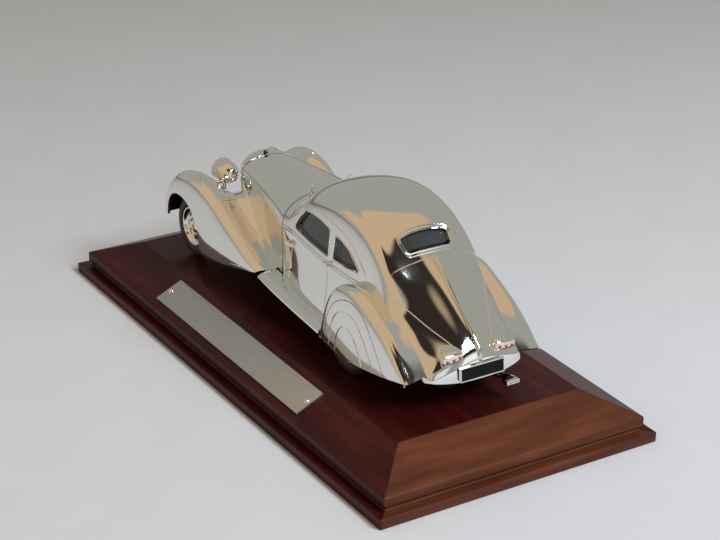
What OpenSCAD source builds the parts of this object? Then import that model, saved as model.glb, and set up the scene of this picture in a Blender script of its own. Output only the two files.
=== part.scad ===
// Chromed streamlined coupe of the 1930s, 1:43, on a moulded wooden plinth.
// Millimetres. X runs from the car's nose (-X) to its tail (+X), Z is up,
// and the origin is at the centre of the plinth's underside.

/* [Plinth] */
// Length of the plinth at its foot
plinth_l = 150; // [146:1:170]
// Width of the plinth at its foot
plinth_w = 75; // [70:1:90]
// Overall height of the plinth
plinth_h = 11.1; // [10.6:0.1:16]
// Height of the bottom slab
slab_h = 2.45; // [2:0.05:3.4]
// How far the moulding stands back from the slab's edge
slab_step = 2.2; // [1.6:0.1:3]
// Height of the upright fascia's top edge
fascia_top = 6; // [5.6:0.1:7.5]
// Run of the bevel along the length
bevel_x = 11.5; // [8:0.5:13]
// Run of the bevel across the width
bevel_y = 10.8; // [8:0.5:12]
// Radius of the cove between slab and fascia
cove_r = 0.6; // [0.4:0.1:1.1]

/* [Nameplate] */
// Length of the nameplate
tag_l = 69.6; // [40:0.2:90]
// Height of the nameplate
tag_w = 7.8; // [6:0.1:8.6]
// Thickness of the nameplate
tag_t = 0.5; // [0.3:0.1:0.8]
// Distance of each pin from the plate's end
tag_pin_inset = 1.3; // [1.2:0.1:3]
// Diameter of a pin's shank
pin_d = 0.8; // [0.6:0.1:1]
// Diameter of a pin's domed head
pin_head_d = 1.5; // [1.2:0.1:2]

/* [Fixings] */
// Distance of the front post behind the front axle
post_front = 22; // [20:0.5:24]
// Distance of the rear post behind the rear axle
post_rear = 14.5; // [13:0.5:16]
// Diameter of the plinth screws' shanks
screw_d = 2; // [1.8:0.1:2.4]
// Diameter of the plinth screws' heads
screw_head_d = 4; // [3.6:0.1:4.4]
// Depth of the counterbores under the plinth
counterbore = 4.5; // [3:0.5:5]

/* [Car] */
// Wheelbase
wheelbase = 75.5; // [73:0.5:78]
// Width over the wings
car_w = 39; // [38.4:0.2:41]
// Height from the road to the roof
car_h = 38.4; // [37.6:0.2:40]
// Place of the front axle from the middle of the plinth
front_axle_x = -46.8; // [-48:0.2:-45.6]
// Wall of the plated castings
wall = 0.9; // [0.7:0.1:1.1]
// Wall of the thin wings
wing_wall = 0.7; // [0.6:0.1:0.8]

/* [Wheels] */
// Radius of the tyres
tyre_r = 8; // [7.7:0.1:8.2]
// Width of the tyres
tyre_w = 3.6; // [3:0.1:3.9]
// Radius of the rim where the tyre seats
rim_r = 5.2; // [4.9:0.1:5.5]
// Half track, to the middle of a tyre
half_track = 16.1; // [15.8:0.1:16.3]
// Gap between the tyres and the plinth
tyre_gap = 0.3; // [0.25:0.05:0.5]
// Diameter of the axles
axle_d = 1.6; // [1.4:0.1:2]
// Radial running clearance of the axles
axle_clear = 0.06; // [0.04:0.01:0.1]

/* [Glazing] */
// Thickness of the glazing
glass_t = 0.5; // [0.4:0.1:0.7]
// Lap of the glazing behind each opening
glass_lap = 0.7; // [0.5:0.1:0.9]

/* [Fittings] */
// Radius of the headlamps
lamp_r = 2.95; // [2.6:0.05:3.1]
// Length of a headlamp from lens to tail
lamp_l = 6.6; // [6:0.1:7]
// Diameter of the headlamps' bars
lamp_bar_d = 0.9; // [0.7:0.1:1.1]
// Length of the number plate
tag_rear_l = 11.4; // [10:0.1:12.4]
// Height of the number plate
tag_rear_h = 2.9; // [2.4:0.1:3.1]
// Diameter of the steering wheel
helm_d = 7.6; // [6.5:0.1:8]
// Diameter of the exhaust pipe
pipe_d = 1.5; // [1.2:0.1:1.6]
// Gap left where two pieces seat on each other
seat_gap = 0.04; // [0.02:0.01:0.06]

/* [Lines and mouldings] */
// Width of the shut lines
line_w = 0.3; // [0.2:0.05:0.5]
// Depth of the shut lines
line_t = 0.2; // [0.1:0.05:0.35]
// Width of the raised mouldings
bead_w = 0.5; // [0.3:0.1:0.7]
// Height of the raised mouldings
bead_t = 0.2; // [0.1:0.05:0.3]

/* [Hidden] */
$fn = 32;

chrome = [0.8, 0.8, 0.78];
steel = [0.55, 0.55, 0.55];
ebony = [0.06, 0.06, 0.07];
mahogany = [0.32, 0.07, 0.05];
smoked = [0.12, 0.14, 0.15, 0.9];

// The castings' lines were drawn at these sizes and are scaled to the car's own
lines_wheelbase = 75.5;
lines_axle_x = -46.8;
lines_w = 39;
lines_h = 38.4;
// A place on the car: lines drawn from the road up, fitted to the driving sizes
function fit(p) = [front_axle_x + (p[0] - lines_axle_x)*wheelbase/lines_wheelbase,
    p[1]*car_w/lines_w, plinth_h + p[2]*car_h/lines_h];
function fit_x(x) = fit([x, 0, 0])[0];
function fit_y(y) = fit([0, y, 0])[1];
function fit_z(h) = fit([0, 0, h])[2];
function fit_net(net) = [for (row = net) [for (p = row) fit(p)]];
module at(p) translate(fit(p)) children();
module left() mirror([0, 1, 0]) children();
module both() for (s = [0, 1]) mirror([0, s, 0]) children();

// Uniform cubic spline through a row of control values, its ends kept
function ends(p) = concat([2*p[0] - p[1]], p, [2*p[len(p) - 1] - p[len(p) - 2]]);
function blend(q, i, t) = (pow(1 - t, 3)*q[i] + (3*t*t*t - 6*t*t + 4)*q[i + 1]
    + (3*t + 3*t*t - 3*t*t*t + 1)*q[i + 2] + t*t*t*q[i + 3])/6;
function smooth(p, n) = let (q = ends(p))
    concat([for (i = [0:len(p) - 2]) for (k = [0:n - 1]) blend(q, i, k/n)], [p[len(p) - 1]]);
// A closed spline round a loop of control points
function loop(p, n) = let (c = len(p), q = [for (i = [0:c + 2]) p[(i + c - 1) % c]])
    [for (i = [0:c - 1]) for (k = [0:n - 1]) blend(q, i, k/n)];
// A net of control points made into a fine grid: n steps a span along, m across
function surface_grid(net, n, m) = smooth([for (row = net) smooth(row, m)], n);
// Rows given for the right half are joined to their mirror image
function both_sides(row) = concat([for (i = [len(row) - 1:-1:1]) [row[i][0], -row[i][1], row[i][2]]], row);
function part_of(g, i0, i1, j0, j1) = [for (i = [i0:i1]) [for (j = [j0:j1]) g[i][j]]];

function unit(v) = v/max(norm(v), 1e-9);
function grid_normal(g, i, j) = let (r = len(g) - 1, c = len(g[0]) - 1)
    unit(cross(g[min(i + 1, r)][j] - g[max(i - 1, 0)][j], g[i][min(j + 1, c)] - g[i][max(j - 1, 0)]));
function sunk(g, d) = [for (i = [0:len(g) - 1]) [for (j = [0:len(g[0]) - 1])
    g[i][j] - d*grid_normal(g, i, j)]];

// A wall between two depths below a grid's surface
module sheet(g, top, bottom) {
    r = len(g);
    c = len(g[0]);
    n = r*c;
    pts = [for (depth = [top, bottom]) for (row = sunk(g, depth)) for (p = row) p];
    function id(i, j) = i*c + j;
    skins = [for (i = [0:r - 2]) for (j = [0:c - 2]) each [
        [id(i, j), id(i + 1, j + 1), id(i + 1, j)], [id(i, j), id(i, j + 1), id(i + 1, j + 1)],
        [n + id(i, j), n + id(i + 1, j), n + id(i + 1, j + 1)],
        [n + id(i, j), n + id(i + 1, j + 1), n + id(i, j + 1)]]];
    sides = [for (i = [0:r - 2]) each [[id(i, 0), id(i + 1, 0), n + id(i + 1, 0), n + id(i, 0)],
        [id(i, c - 1), n + id(i, c - 1), n + id(i + 1, c - 1), id(i + 1, c - 1)]]];
    tips = [for (j = [0:c - 2]) each [[id(0, j), n + id(0, j), n + id(0, j + 1), id(0, j + 1)],
        [id(r - 1, j), id(r - 1, j + 1), n + id(r - 1, j + 1), n + id(r - 1, j)]]];
    polyhedron(pts, concat(skins, sides, tips), 10);
}
// Prisms on outlines drawn from the side (x, h) and from the front (y, h)
module side_prism(y, run) translate([0, y, 0]) rotate([90, 0, 0]) mirror([0, 0, 1]) linear_extrude(run)
    children();
module front_prism(x, run) translate([x, 0, 0]) rotate([90, 0, 90]) linear_extrude(run) children();
module side_outline(outline) polygon([for (p = outline) [fit_x(p[0]), fit_z(p[1])]]);
module front_outline(outline) polygon([for (p = outline) [fit_y(p[0]), fit_z(p[1])]]);
// A strip of even width along a smooth run of points
function across(p, i) = let (d = p[min(i + 1, len(p) - 1)] - p[max(i - 1, 0)]) [-d[1], d[0]]/norm(d);
module strip(points, w) {
    run = smooth(points, 3);
    polygon(concat([for (i = [0:len(run) - 1]) run[i] + across(run, i)*w/2],
        [for (i = [len(run) - 1:-1:0]) run[i] - across(run, i)*w/2]));
}
module side_line(points, w) strip([for (p = points) [fit_x(p[0]), fit_z(p[1])]], w);
module top_line(points, w) linear_extrude(road + 2*car_h)
    strip([for (p = points) [fit_x(p[0]), fit_y(p[1])]], w);
module rounded(r, grow = 0) offset(delta = grow) offset(r = r, $fn = 16) offset(delta = -r) children();

// Lines of the body: rows from the front to the back, each from the crown down to the lower edge
function cowl_row(x) = [[x, 0, 28.8], [x, 5.8, 28.6], [x, 11, 26.4], [x, 12.5, 23], [x, 12.6, 20.5],
    [x, 12.2, 14], [x, 12.6, 8]];
bonnet_lines = [
    [[-38.5, 0, 27.6], [-38.5, 3.6, 27.4], [-38.5, 7.1, 26.1], [-38.5, 7.5, 23.8], [-38.5, 7.4, 21],
        [-38.5, 7.1, 15], [-38.5, 7, 9]],
    [[-28, 0, 28], [-28, 4.4, 27.9], [-28, 8.9, 26.7], [-28, 9.4, 23.6], [-28, 9.3, 20.8], [-28, 9, 15],
        [-28, 9, 9]],
    [[-18, 0, 28.4], [-18, 5.2, 28.2], [-18, 10.6, 26.7], [-18, 11.2, 23.3], [-18, 11.1, 20.6],
        [-18, 11, 14.5], [-18, 11.6, 8.5]],
    cowl_row(-9.75)];
body_lines = [
    cowl_row(-9.5),
    [[-8.4, 0, 29], [-8.4, 5.9, 28.8], [-8.2, 11.3, 26.6], [-8, 12.7, 23.1], [-8, 12.8, 20.6],
        [-8, 12.6, 14], [-8, 13.1, 8]],
    [[-7.6, 0, 29.4], [-7.2, 6, 29.1], [-5.6, 11.7, 26.9], [-5.2, 12.7, 23.3], [-5.4, 13, 20.8],
        [-5.6, 13.1, 14], [-5.6, 13.9, 8]],
    [[-2.2, 0, 34.6], [-1.8, 6, 34.3], [0.4, 11.9, 31.8], [0.8, 12.9, 27.8], [0.4, 13.4, 22],
        [0.2, 13.8, 14.5], [0.2, 14.7, 8]],
    [[5, 0, 37.2], [5, 6, 37.1], [6, 12.2, 35.4], [6.4, 13.2, 30], [6.4, 13.7, 22.4], [6.4, 14.2, 14.8],
        [6.4, 15.1, 8]],
    [[13, 0, 38.6], [13, 6, 38.5], [13.5, 12.3, 37.4], [14, 13.3, 31], [14, 13.9, 22.8], [14, 14.4, 15],
        [14, 15.4, 8]],
    [[21.5, 0, 38.4], [21.5, 6, 38.3], [21.5, 12.2, 37.3], [22, 13.2, 31], [22, 14, 23], [22, 14.6, 15.2],
        [22, 15.3, 8]],
    [[28.5, 0, 36.4], [28.5, 6, 36.3], [28.5, 12, 35.2], [28.5, 13, 30], [28.5, 13.9, 23], [28.5, 14.6, 16],
        [28.5, 15, 8]],
    [[33.5, 0, 32.6], [33.5, 5.8, 32.5], [33.5, 11.8, 31.6], [33.5, 13.1, 28], [33.5, 13.7, 23],
        [33.5, 14.6, 17.5], [33.5, 15, 8]],
    [[38, 0, 28.7], [38, 5.8, 28.5], [38, 11.7, 27.2], [38, 12.9, 24], [38, 13.7, 21.4], [38, 14.6, 18.5],
        [38, 14.8, 8.4]],
    [[43, 0, 25.1], [43, 5.6, 24.4], [43, 10.2, 20.6], [43, 11.7, 19.4], [43, 13.8, 17.6], [43, 14.3, 13],
        [43, 14.3, 8.4]],
    [[48, 0, 21.2], [48, 4.7, 20.5], [48, 8, 17.8], [48, 10.5, 16.6], [48, 13.3, 14.6], [48, 13.7, 10.5],
        [48, 13.6, 8.2]],
    [[53, 0, 17.2], [53, 3.4, 16.7], [53, 5.6, 15.1], [53, 8.8, 13.6], [52.6, 12.6, 11.2], [52.2, 13, 9],
        [52, 12.9, 8]],
    [[56.8, 0, 13.6], [56.8, 2.6, 13.4], [56.6, 5, 13], [56.2, 8.4, 12], [55.3, 12, 10.4], [54.6, 12.7, 9.2],
        [54, 12.9, 8.1]],
    [[57.4, 0, 7.4], [57.3, 2.8, 7.4], [57.2, 5.6, 7.5], [56.7, 9, 7.9], [55.9, 11.6, 8.2], [55, 12.6, 8.3],
        [54, 12.9, 8]]];
// Lines of the right front wing: rows from the lip to the tail, each from the bonnet out to the lower edge
front_wing_lines = [
    [[-57.5, 8.6, 8], [-59, 9.2, 7.7], [-60, 10.8, 7.6], [-60.9, 13.5, 7.6], [-61.2, 16.2, 7.6],
        [-60.6, 18.5, 7.6], [-59.2, 19.1, 7.9], [-57.6, 19.2, 8.2]],
    [[-56.8, 8.4, 11], [-58.2, 9, 11.4], [-59.4, 10.6, 12], [-60.6, 13.4, 12.6], [-60.9, 16.3, 12.9],
        [-60.3, 18.6, 12.6], [-58.7, 19.2, 12], [-57.2, 19.3, 11.4]],
    [[-54, 8.2, 13.5], [-55.4, 8.8, 14.6], [-56.8, 10.6, 16.4], [-57.6, 13.6, 17.8], [-57.9, 16.6, 18.4],
        [-57.5, 18.8, 17.4], [-56.4, 19.4, 16], [-55.4, 19.4, 14.9]],
    [[-49.5, 8, 14.5], [-50.5, 8.6, 16], [-51.6, 10.8, 19], [-52.2, 13.8, 21.6], [-52.6, 16.8, 22.4],
        [-52.4, 18.9, 20.9], [-52, 19.5, 18.4], [-51.6, 19.5, 16.5]],
    [[-44, 7.8, 15.5], [-45, 8.6, 16.6], [-46, 11, 20], [-46.6, 13.9, 23], [-47, 16.7, 23.7],
        [-47, 18.9, 22.2], [-47, 19.5, 19], [-47, 19.5, 16.2]],
    [[-39.5, 7.2, 19], [-40, 9, 18.2], [-41, 11.2, 19.8], [-41.6, 14, 22.3], [-41.8, 16.9, 22.9],
        [-42, 18.9, 21.9], [-42.8, 19.5, 17.8], [-43.4, 19.5, 14]],
    [[-35.5, 7.4, 20.3], [-36, 9.8, 18.4], [-36.6, 11.8, 18.7], [-37.2, 14.2, 20.7], [-37.4, 17.1, 21.4],
        [-37.8, 19, 20.5], [-39.6, 19.5, 15], [-41, 19.5, 10.6]],
    [[-32, 7.9, 17.4], [-32.3, 10.4, 16], [-32.7, 12.2, 16.6], [-33.2, 14.5, 18.9], [-33.5, 17.3, 19.7],
        [-34.4, 18.9, 18.4], [-37.6, 19.5, 12], [-40.1, 19.5, 6.6]],
    [[-28.5, 8.3, 14.6], [-28.7, 11, 13.6], [-29, 12.6, 14.6], [-29.4, 14.7, 17], [-29.8, 17.4, 17.9],
        [-30.8, 18.9, 16], [-35.2, 19.5, 9.6], [-39.5, 19.5, 3.4]],
    [[-24.5, 8.8, 12.3], [-24.6, 11.5, 11.5], [-24.8, 12.9, 12.4], [-25, 14.9, 14.9], [-25.4, 17.4, 15.8],
        [-26.2, 18.8, 14], [-29.6, 19.3, 9], [-33, 19.3, 4.8]],
    [[-20, 9.6, 11], [-20, 12, 10.4], [-20, 13.2, 10.9], [-20.2, 15, 12.5], [-20.5, 17.3, 13.2],
        [-21, 18.5, 11.6], [-23, 18.9, 8.4], [-25.5, 18.9, 6]],
    [[-15.5, 10.6, 10], [-15.5, 12.4, 9.7], [-15.5, 13.7, 9.8], [-15.7, 15.3, 10.3], [-16, 17, 10.6],
        [-16.4, 18, 9.8], [-17.6, 18.3, 8.4], [-18.8, 18.3, 7.4]],
    [[-12, 11.6, 9.7], [-12, 12.9, 9.6], [-12.2, 14.2, 9.5], [-12.4, 15.5, 9.5], [-12.8, 16.6, 9.4],
        [-13.2, 17.3, 9.2], [-13.6, 17.6, 8.9], [-14, 17.7, 8.6]]];
// Lines of the right rear wing: rows from its foot over the wheel to the tail, each from the body outwards
rear_wing_lines = [
    [[18.8, 14, 6.3], [18.5, 16.2, 6.2], [18.4, 17.8, 6.1], [18.6, 18.9, 6.1], [18.9, 19.2, 6.1],
        [19.3, 19.3, 6.1]],
    [[19.3, 13.8, 11.5], [19.1, 16.4, 11.6], [19.1, 18, 11.6], [19.8, 19.1, 11], [21, 19.4, 9],
        [22.4, 19.4, 5.7]],
    [[21.2, 13.8, 17.5], [21, 16.5, 17.9], [21, 18, 17.9], [22, 19.1, 16.5], [23.8, 19.5, 11.5],
        [25.6, 19.5, 5.3]],
    [[25.5, 13.4, 21.4], [25.5, 16, 22.4], [25.5, 18, 22.2], [26.3, 19, 19.7], [27.7, 19.6, 12.5],
        [29, 19.6, 5.3]],
    [[32, 13.2, 21.6], [32, 15.6, 23.2], [32, 17.7, 23.4], [32.3, 19, 20.4], [32.6, 19.6, 12.5],
        [33, 19.6, 5.6]],
    [[38, 13, 19.8], [38, 15.6, 20.7], [38, 17.3, 20.9], [38.3, 18.8, 18.4], [38.6, 19.4, 12],
        [39, 19.4, 6.3]],
    [[43.5, 12.8, 17.9], [43.5, 15.2, 18], [43.7, 17.5, 18.3], [44.1, 18.8, 16], [44.5, 19.2, 11],
        [45, 19.2, 7.3]],
    [[48, 12.3, 14.9], [48.1, 15, 14.8], [48.4, 17.7, 14.8], [49, 18.8, 13], [49.4, 19, 10.5],
        [49.6, 19, 8.3]],
    [[51.5, 12, 11.9], [52, 14.8, 11.5], [52.5, 17.5, 11], [52.8, 18.5, 10], [52.8, 18.6, 9.4],
        [52.8, 18.6, 8.9]],
    [[53.8, 12, 9.8], [54.3, 14.8, 9.4], [54.6, 17, 9.2], [54.4, 18.1, 9.1], [54.2, 18.3, 9.1],
        [54, 18.4, 9.1]]];
// Lines of the radiator shell: rows from the open front to the bonnet, each from the crown down
radiator_lines = [
    [[-43.2, 0, 27.2], [-42.7, 3.2, 26.8], [-41, 6.2, 25.4], [-40.6, 6.6, 23.4], [-40.5, 6.5, 21],
        [-40.3, 6.1, 15], [-40.1, 5.8, 9]],
    [[-42.2, 0, 28.1], [-41.7, 3.6, 27.8], [-40.1, 7, 26.2], [-39.7, 7.4, 23.8], [-39.6, 7.3, 21],
        [-39.5, 6.9, 15], [-39.4, 6.6, 9]],
    [[-40.5, 0, 28], [-40.2, 3.7, 27.7], [-39.4, 7.3, 26.3], [-39.2, 7.6, 23.9], [-39.2, 7.5, 21],
        [-39.1, 7.1, 15], [-39.1, 6.9, 9]],
    [[-38.75, 0, 27.7], [-38.75, 3.7, 27.5], [-38.75, 7.2, 26.2], [-38.75, 7.6, 23.9], [-38.75, 7.5, 21],
        [-38.75, 7.2, 15], [-38.75, 7.1, 9]]];
// Lines of the apron between the front wings, from its lip back to the radiator
apron_lines = [
    [[-59.4, 0, 6.6], [-59.2, 4, 6.8], [-58.4, 8.9, 7.4]],
    [[-58, 0, 9.6], [-57.9, 4, 9.9], [-57.2, 8.9, 10.8]],
    [[-54.2, 0, 12], [-54.2, 4, 12.4], [-54.2, 8.6, 13.2]],
    [[-49.5, 0, 13], [-49.5, 4, 13.4], [-49.5, 8.4, 14.3]],
    [[-46, 0, 13.4], [-46, 4, 13.8], [-46, 8.2, 15]],
    [[-42.2, 0, 13.6], [-41.8, 4, 14.2], [-41.2, 7.9, 16.2]]];
// Lines of the right running board, from the front wing to the rear one
board_lines = [
    [[-13.2, 12.6, 9.2], [-12.6, 14.4, 9.1], [-12.4, 16.2, 9], [-12.6, 17.5, 8.5], [-12.8, 17.7, 7.9]],
    [[-6, 12.9, 8.7], [-6, 15, 8.6], [-6, 16.9, 8.4], [-6, 17.9, 7.8], [-6, 18, 7.1]],
    [[5, 13.8, 8.4], [5, 15.8, 8.2], [5, 17.6, 7.8], [5, 18.3, 7.2], [5, 18.4, 6.5]],
    [[12, 14.4, 8.3], [12, 16.3, 8], [12, 17.9, 7.6], [12, 18.6, 7], [12, 18.7, 6.3]],
    [[18.1, 14.5, 8.2], [18.1, 16.6, 7.8], [18, 18.1, 7.4], [18, 18.8, 6.8], [18, 18.9, 6.1]]];
// Outlines of the windows, as loops of points
windscreen_pane = [[0.7, 30.4], [0.7, 33], [5, 32.5], [9.2, 30.8], [10.4, 27.8], [5.6, 29.9]];
door_pane = [[-2.9, 24], [-0.6, 27.6], [1.6, 29.9], [5, 30.4], [9.5, 30.5], [14, 29.9], [14, 23.1],
    [5, 23.4]];
quarter_pane = [[16.1, 23.5], [16.5, 29.3], [19, 29.1], [22.8, 27.8], [27.4, 24.4], [22, 23.7]];
rear_pane = [[-5.9, 30.55], [-6.5, 33], [-3.3, 33.6], [0, 33.8], [3.3, 33.6], [6.5, 33], [5.9, 30.55],
    [3, 30.75], [-3, 30.75]];
pane_corner = 0.7;
// Shut lines and mouldings, drawn from the side (x, h) or from above (x, y)
belt_line = [[-9.2, 22.4], [-5.8, 22.6], [-2.8, 22.7], [5, 22.2], [14.4, 21.9], [24.4, 22]];
door_lines = [[[-3.2, 21.4], [-3.8, 17], [-4.4, 12], [-4.6, 9]], [[14.4, 21.4], [14.4, 15], [14.4, 9]]];
boot_line = [[37.1, 31], [37.1, 27], [37.5, 24.4], [38.3, 22.8], [40.9, 21.5], [44.4, 19.6], [47.9, 17.7],
    [51.2, 15.9], [54.5, 14.1]];
hinge_line = [[-38.2, 0], [-24, 0], [-10, 0]];
bonnet_line = [[-38.3, 22.9], [-30, 22.3], [-20, 21.7], [-10, 21.8]];
crown_line = [[-43.9, 16.7], [-38.2, 17], [-34.6, 17.2], [-27.8, 17.4], [-21.7, 17.3], [-16, 17.2]];
board_ribs = [for (k = [0:2]) [[-9, 13.4 + 1.1*k], [5, 14.3 + 1.1*k], [17.5, 15 + 1.1*k]]];
// Outline of a rear spat, and of the two steps raised on it
spat_loop = [[22, 2], [21.6, 7.5], [22.6, 12.8], [25.2, 17.2], [29.4, 19.6], [34, 19.7], [38.4, 17.4],
    [42.4, 13.4], [45.6, 9.4], [47, 6], [46, 2]];
spat_mid_loop = [[24.4, 2], [23.8, 7], [24.8, 12], [27.2, 15.6], [30.6, 17], [34.4, 16.4], [38.2, 13.2],
    [41.4, 9], [43, 6], [42.6, 2]];
spat_inner_loop = [[27, 2], [26.6, 6.6], [27.4, 10.4], [29.4, 12.9], [32, 13.3], [34.8, 11.6],
    [37, 8.4], [38.2, 5.4], [38, 2]];

body_grid = surface_grid(fit_net([for (row = body_lines) both_sides(row)]), 2, 2);
bonnet_grid = surface_grid(fit_net([for (row = bonnet_lines) both_sides(row)]), 2, 2);
radiator_grid = surface_grid(fit_net([for (row = radiator_lines) both_sides(row)]), 2, 2);
apron_grid = surface_grid(fit_net([for (row = apron_lines) both_sides(row)]), 2, 2);
front_wing_grid = surface_grid(fit_net(front_wing_lines), 2, 2);
rear_wing_grid = surface_grid(fit_net(rear_wing_lines), 2, 2);
board_grid = surface_grid(fit_net(board_lines), 2, 1);
// What the wings and boards are trimmed by where they seat on the castings in the middle
seat_depth = 3.5;
module seat(g) sheet(g, -seat_gap, seat_depth);
// Where the windscreen's and the rear window's openings run from front to back
screen_x = fit_x(-14);
screen_run = fit_x(0.8) - screen_x;
rear_x = fit_x(27);
rear_run = fit_x(44) - rear_x;

// Levels and places that follow from the sizes above
fit_gap = 0.01;
road = plinth_h;
axle_z = road + tyre_gap + tyre_r;
rear_axle_x = front_axle_x + wheelbase;
post_x = [front_axle_x + post_front, rear_axle_x + post_rear];
post_r = 2.1;
foot_r = 3.2;
pan_t = 1.2;
pan_z = road + 4.4;
pan_top = pan_z + pan_t;
screw_bite = 6;
bevel_angle = atan((plinth_h - fascia_top)/bevel_y);
bevel_len = norm([bevel_y, plinth_h - fascia_top]);
tyre_inner = half_track - tyre_w/2;
cheek_t = 2;
cheek_y = tyre_inner - 1.4;

// ---- Plinth ----
module plinth_section(w, run) {
    foot = w/2;
    waist = foot - slab_step;
    difference() {
        polygon([[-foot + 0.5, 0], [foot - 0.5, 0], [foot, 0.5], [foot, slab_h], [waist, slab_h],
            [waist, fascia_top], [waist - run, plinth_h], [run - waist, plinth_h], [-waist, fascia_top],
            [-waist, slab_h], [-foot, slab_h], [-foot, 0.5]]);
        for (s = [-1, 1]) translate([s*waist, slab_h + cove_r]) circle(cove_r);
    }
}
// The left bevel's face, with +Z out of it and the origin at the nameplate's middle
tag_x = -1.7;
module on_bevel() translate([tag_x, -plinth_w/2 + slab_step, fascia_top]) rotate([bevel_angle, 0, 0])
    translate([0, bevel_len/2, 0]) children();
module at_pins() for (s = [-1, 1]) translate([s*(tag_l/2 - tag_pin_inset), 0, 0]) children();
pin_l = 3;
module plinth() color(mahogany) difference() {
    intersection() {
        rotate([90, 0, 90]) translate([0, 0, -plinth_l/2]) linear_extrude(plinth_l)
            plinth_section(plinth_w, bevel_y);
        rotate([90, 0, 0]) translate([0, 0, -plinth_w/2]) linear_extrude(plinth_w)
            plinth_section(plinth_l, bevel_x);
    }
    for (x = post_x) translate([x, 0, 0]) {
        translate([0, 0, -1]) cylinder(h = plinth_h + 2, d = screw_d + 0.4);
        translate([0, 0, -1]) cylinder(h = counterbore + 1, d = screw_head_d + 0.8);
    }
    on_bevel() at_pins() translate([0, 0, -pin_l - 0.2]) cylinder(h = pin_l + 1, d = pin_d + 2*fit_gap);
}
module nameplate() color([0.62, 0.62, 0.6]) on_bevel() difference() {
    linear_extrude(tag_t) square([tag_l, tag_w], center = true);
    at_pins() translate([0, 0, -1]) cylinder(h = tag_t + 2, d = pin_d + 2*fit_gap);
}
module nameplate_pins() color([0.85, 0.85, 0.85]) on_bevel() at_pins() {
    translate([0, 0, -pin_l]) cylinder(h = pin_l + tag_t + 0.1, d = pin_d);
    translate([0, 0, tag_t]) rotate_extrude() intersection() {
        translate([0, -pin_head_d*0.3]) circle(pin_head_d*0.6);
        square([pin_head_d/2, pin_head_d]);
    }
}
module plinth_screws() color(steel) for (x = post_x) translate([x, 0, counterbore]) {
    difference() {
        translate([0, 0, -screw_head_d*0.4]) cylinder(h = screw_head_d*0.4, d = screw_head_d);
        translate([-screw_head_d, -0.3, -screw_head_d*0.4 - 1]) cube([2*screw_head_d, 0.6, 1.6]);
    }
    translate([0, 0, -0.1]) cylinder(h = pan_top + screw_bite - counterbore - 0.3, d = screw_d);
}
// Post of a casting, down to the pan, with the screw's hole
module post(x, top) difference() {
    translate([x, 0, pan_top]) cylinder(h = top - pan_top, r = post_r);
    screw_hole(x);
}
module screw_hole(x) translate([x, 0, pan_top - 1]) cylinder(h = screw_bite + 1, d = screw_d + 2*fit_gap);

// ---- Chassis ----
pan_half = [[front_axle_x + 3, 5], [front_axle_x + 11, 6.5], [fit_x(-20), 10], [fit_x(-4), 11.8],
    [rear_axle_x - 9, 12], [rear_axle_x + 13, 11.2], [fit_x(45), 9.5], [fit_x(47.5), 7]];
module pan_outline() polygon(concat(pan_half, [for (i = [len(pan_half) - 1:-1:0])
    [pan_half[i][0], -pan_half[i][1]]]));
// One flat outline: the pan with a broad pad across it at each axle
module pan_shape() {
    pan_outline();
    for (x = [front_axle_x, rear_axle_x]) translate([x - 3.5, -cheek_y]) square([7, 2*cheek_y]);
}
module base_plate() color(ebony) difference() {
    union() {
        translate([0, 0, pan_z]) linear_extrude(pan_t) pan_shape();
        for (x = post_x) translate([x, 0, road]) cylinder(h = pan_z - road + pan_t/2, r = foot_r);
        for (x = [front_axle_x, rear_axle_x], s = [-1, 1])
            translate([x - 1.9, s*(cheek_y - cheek_t/2 - 0.1) - cheek_t/2, pan_z + pan_t/2])
                cube([3.8, cheek_t, axle_z - pan_z - pan_t/2 + axle_d/2 + 1]);
        for (s = [-1, 1]) translate([front_axle_x + 6, s*4.2 - 0.5, pan_z - 0.8])
            cube([wheelbase - 12, 1, 0.8 + pan_t/2]);
    }
    for (x = [front_axle_x, rear_axle_x]) translate([x, 0, axle_z]) rotate([90, 0, 0])
        cylinder(h = car_w, d = axle_d + 2*axle_clear, center = true);
    for (x = post_x) translate([x, 0, road - 1]) cylinder(h = pan_top - road + 2, d = screw_d + 0.2);
}
module axle(x) color(steel) translate([x, 0, axle_z]) rotate([90, 0, 0])
    cylinder(h = 2*half_track + 1.6, d = axle_d, center = true);
module front_axle() axle(front_axle_x);
module rear_axle() axle(rear_axle_x);

// ---- Wheels, each drawn with its outer face towards +Z ----
module at_wheel(x, side) translate([x, side*half_track, axle_z]) rotate([-90*side, 0, 0]) children();
rim_w = tyre_w - 0.6;
module rim() color(chrome) difference() {
    rotate_extrude() polygon([[axle_d/2 + fit_gap, -0.8], [1.7, -0.8], [1.9, 0], [rim_r - 1.3, -0.3],
        [rim_r - 0.8, -rim_w/2], [rim_r, -rim_w/2], [rim_r, rim_w/2], [rim_r - 0.4, rim_w/2],
        [rim_r - 0.6, 0.9], [rim_r - 1.2, 0.5], [2.1, 0.8], [1.8, 0.8], [axle_d/2 + fit_gap, 0.8]]);
    for (k = [0:7]) rotate(k*45) translate([rim_r - 2.1, 0, -2]) cylinder(h = 4, d = 1.1);
}
module tyre() color(ebony) rotate_extrude() intersection() {
    translate([rim_r + fit_gap, -tyre_w/2]) square([tyre_r - rim_r - fit_gap, tyre_w]);
    translate([tyre_r - 3, 0]) circle(3);
}
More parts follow.
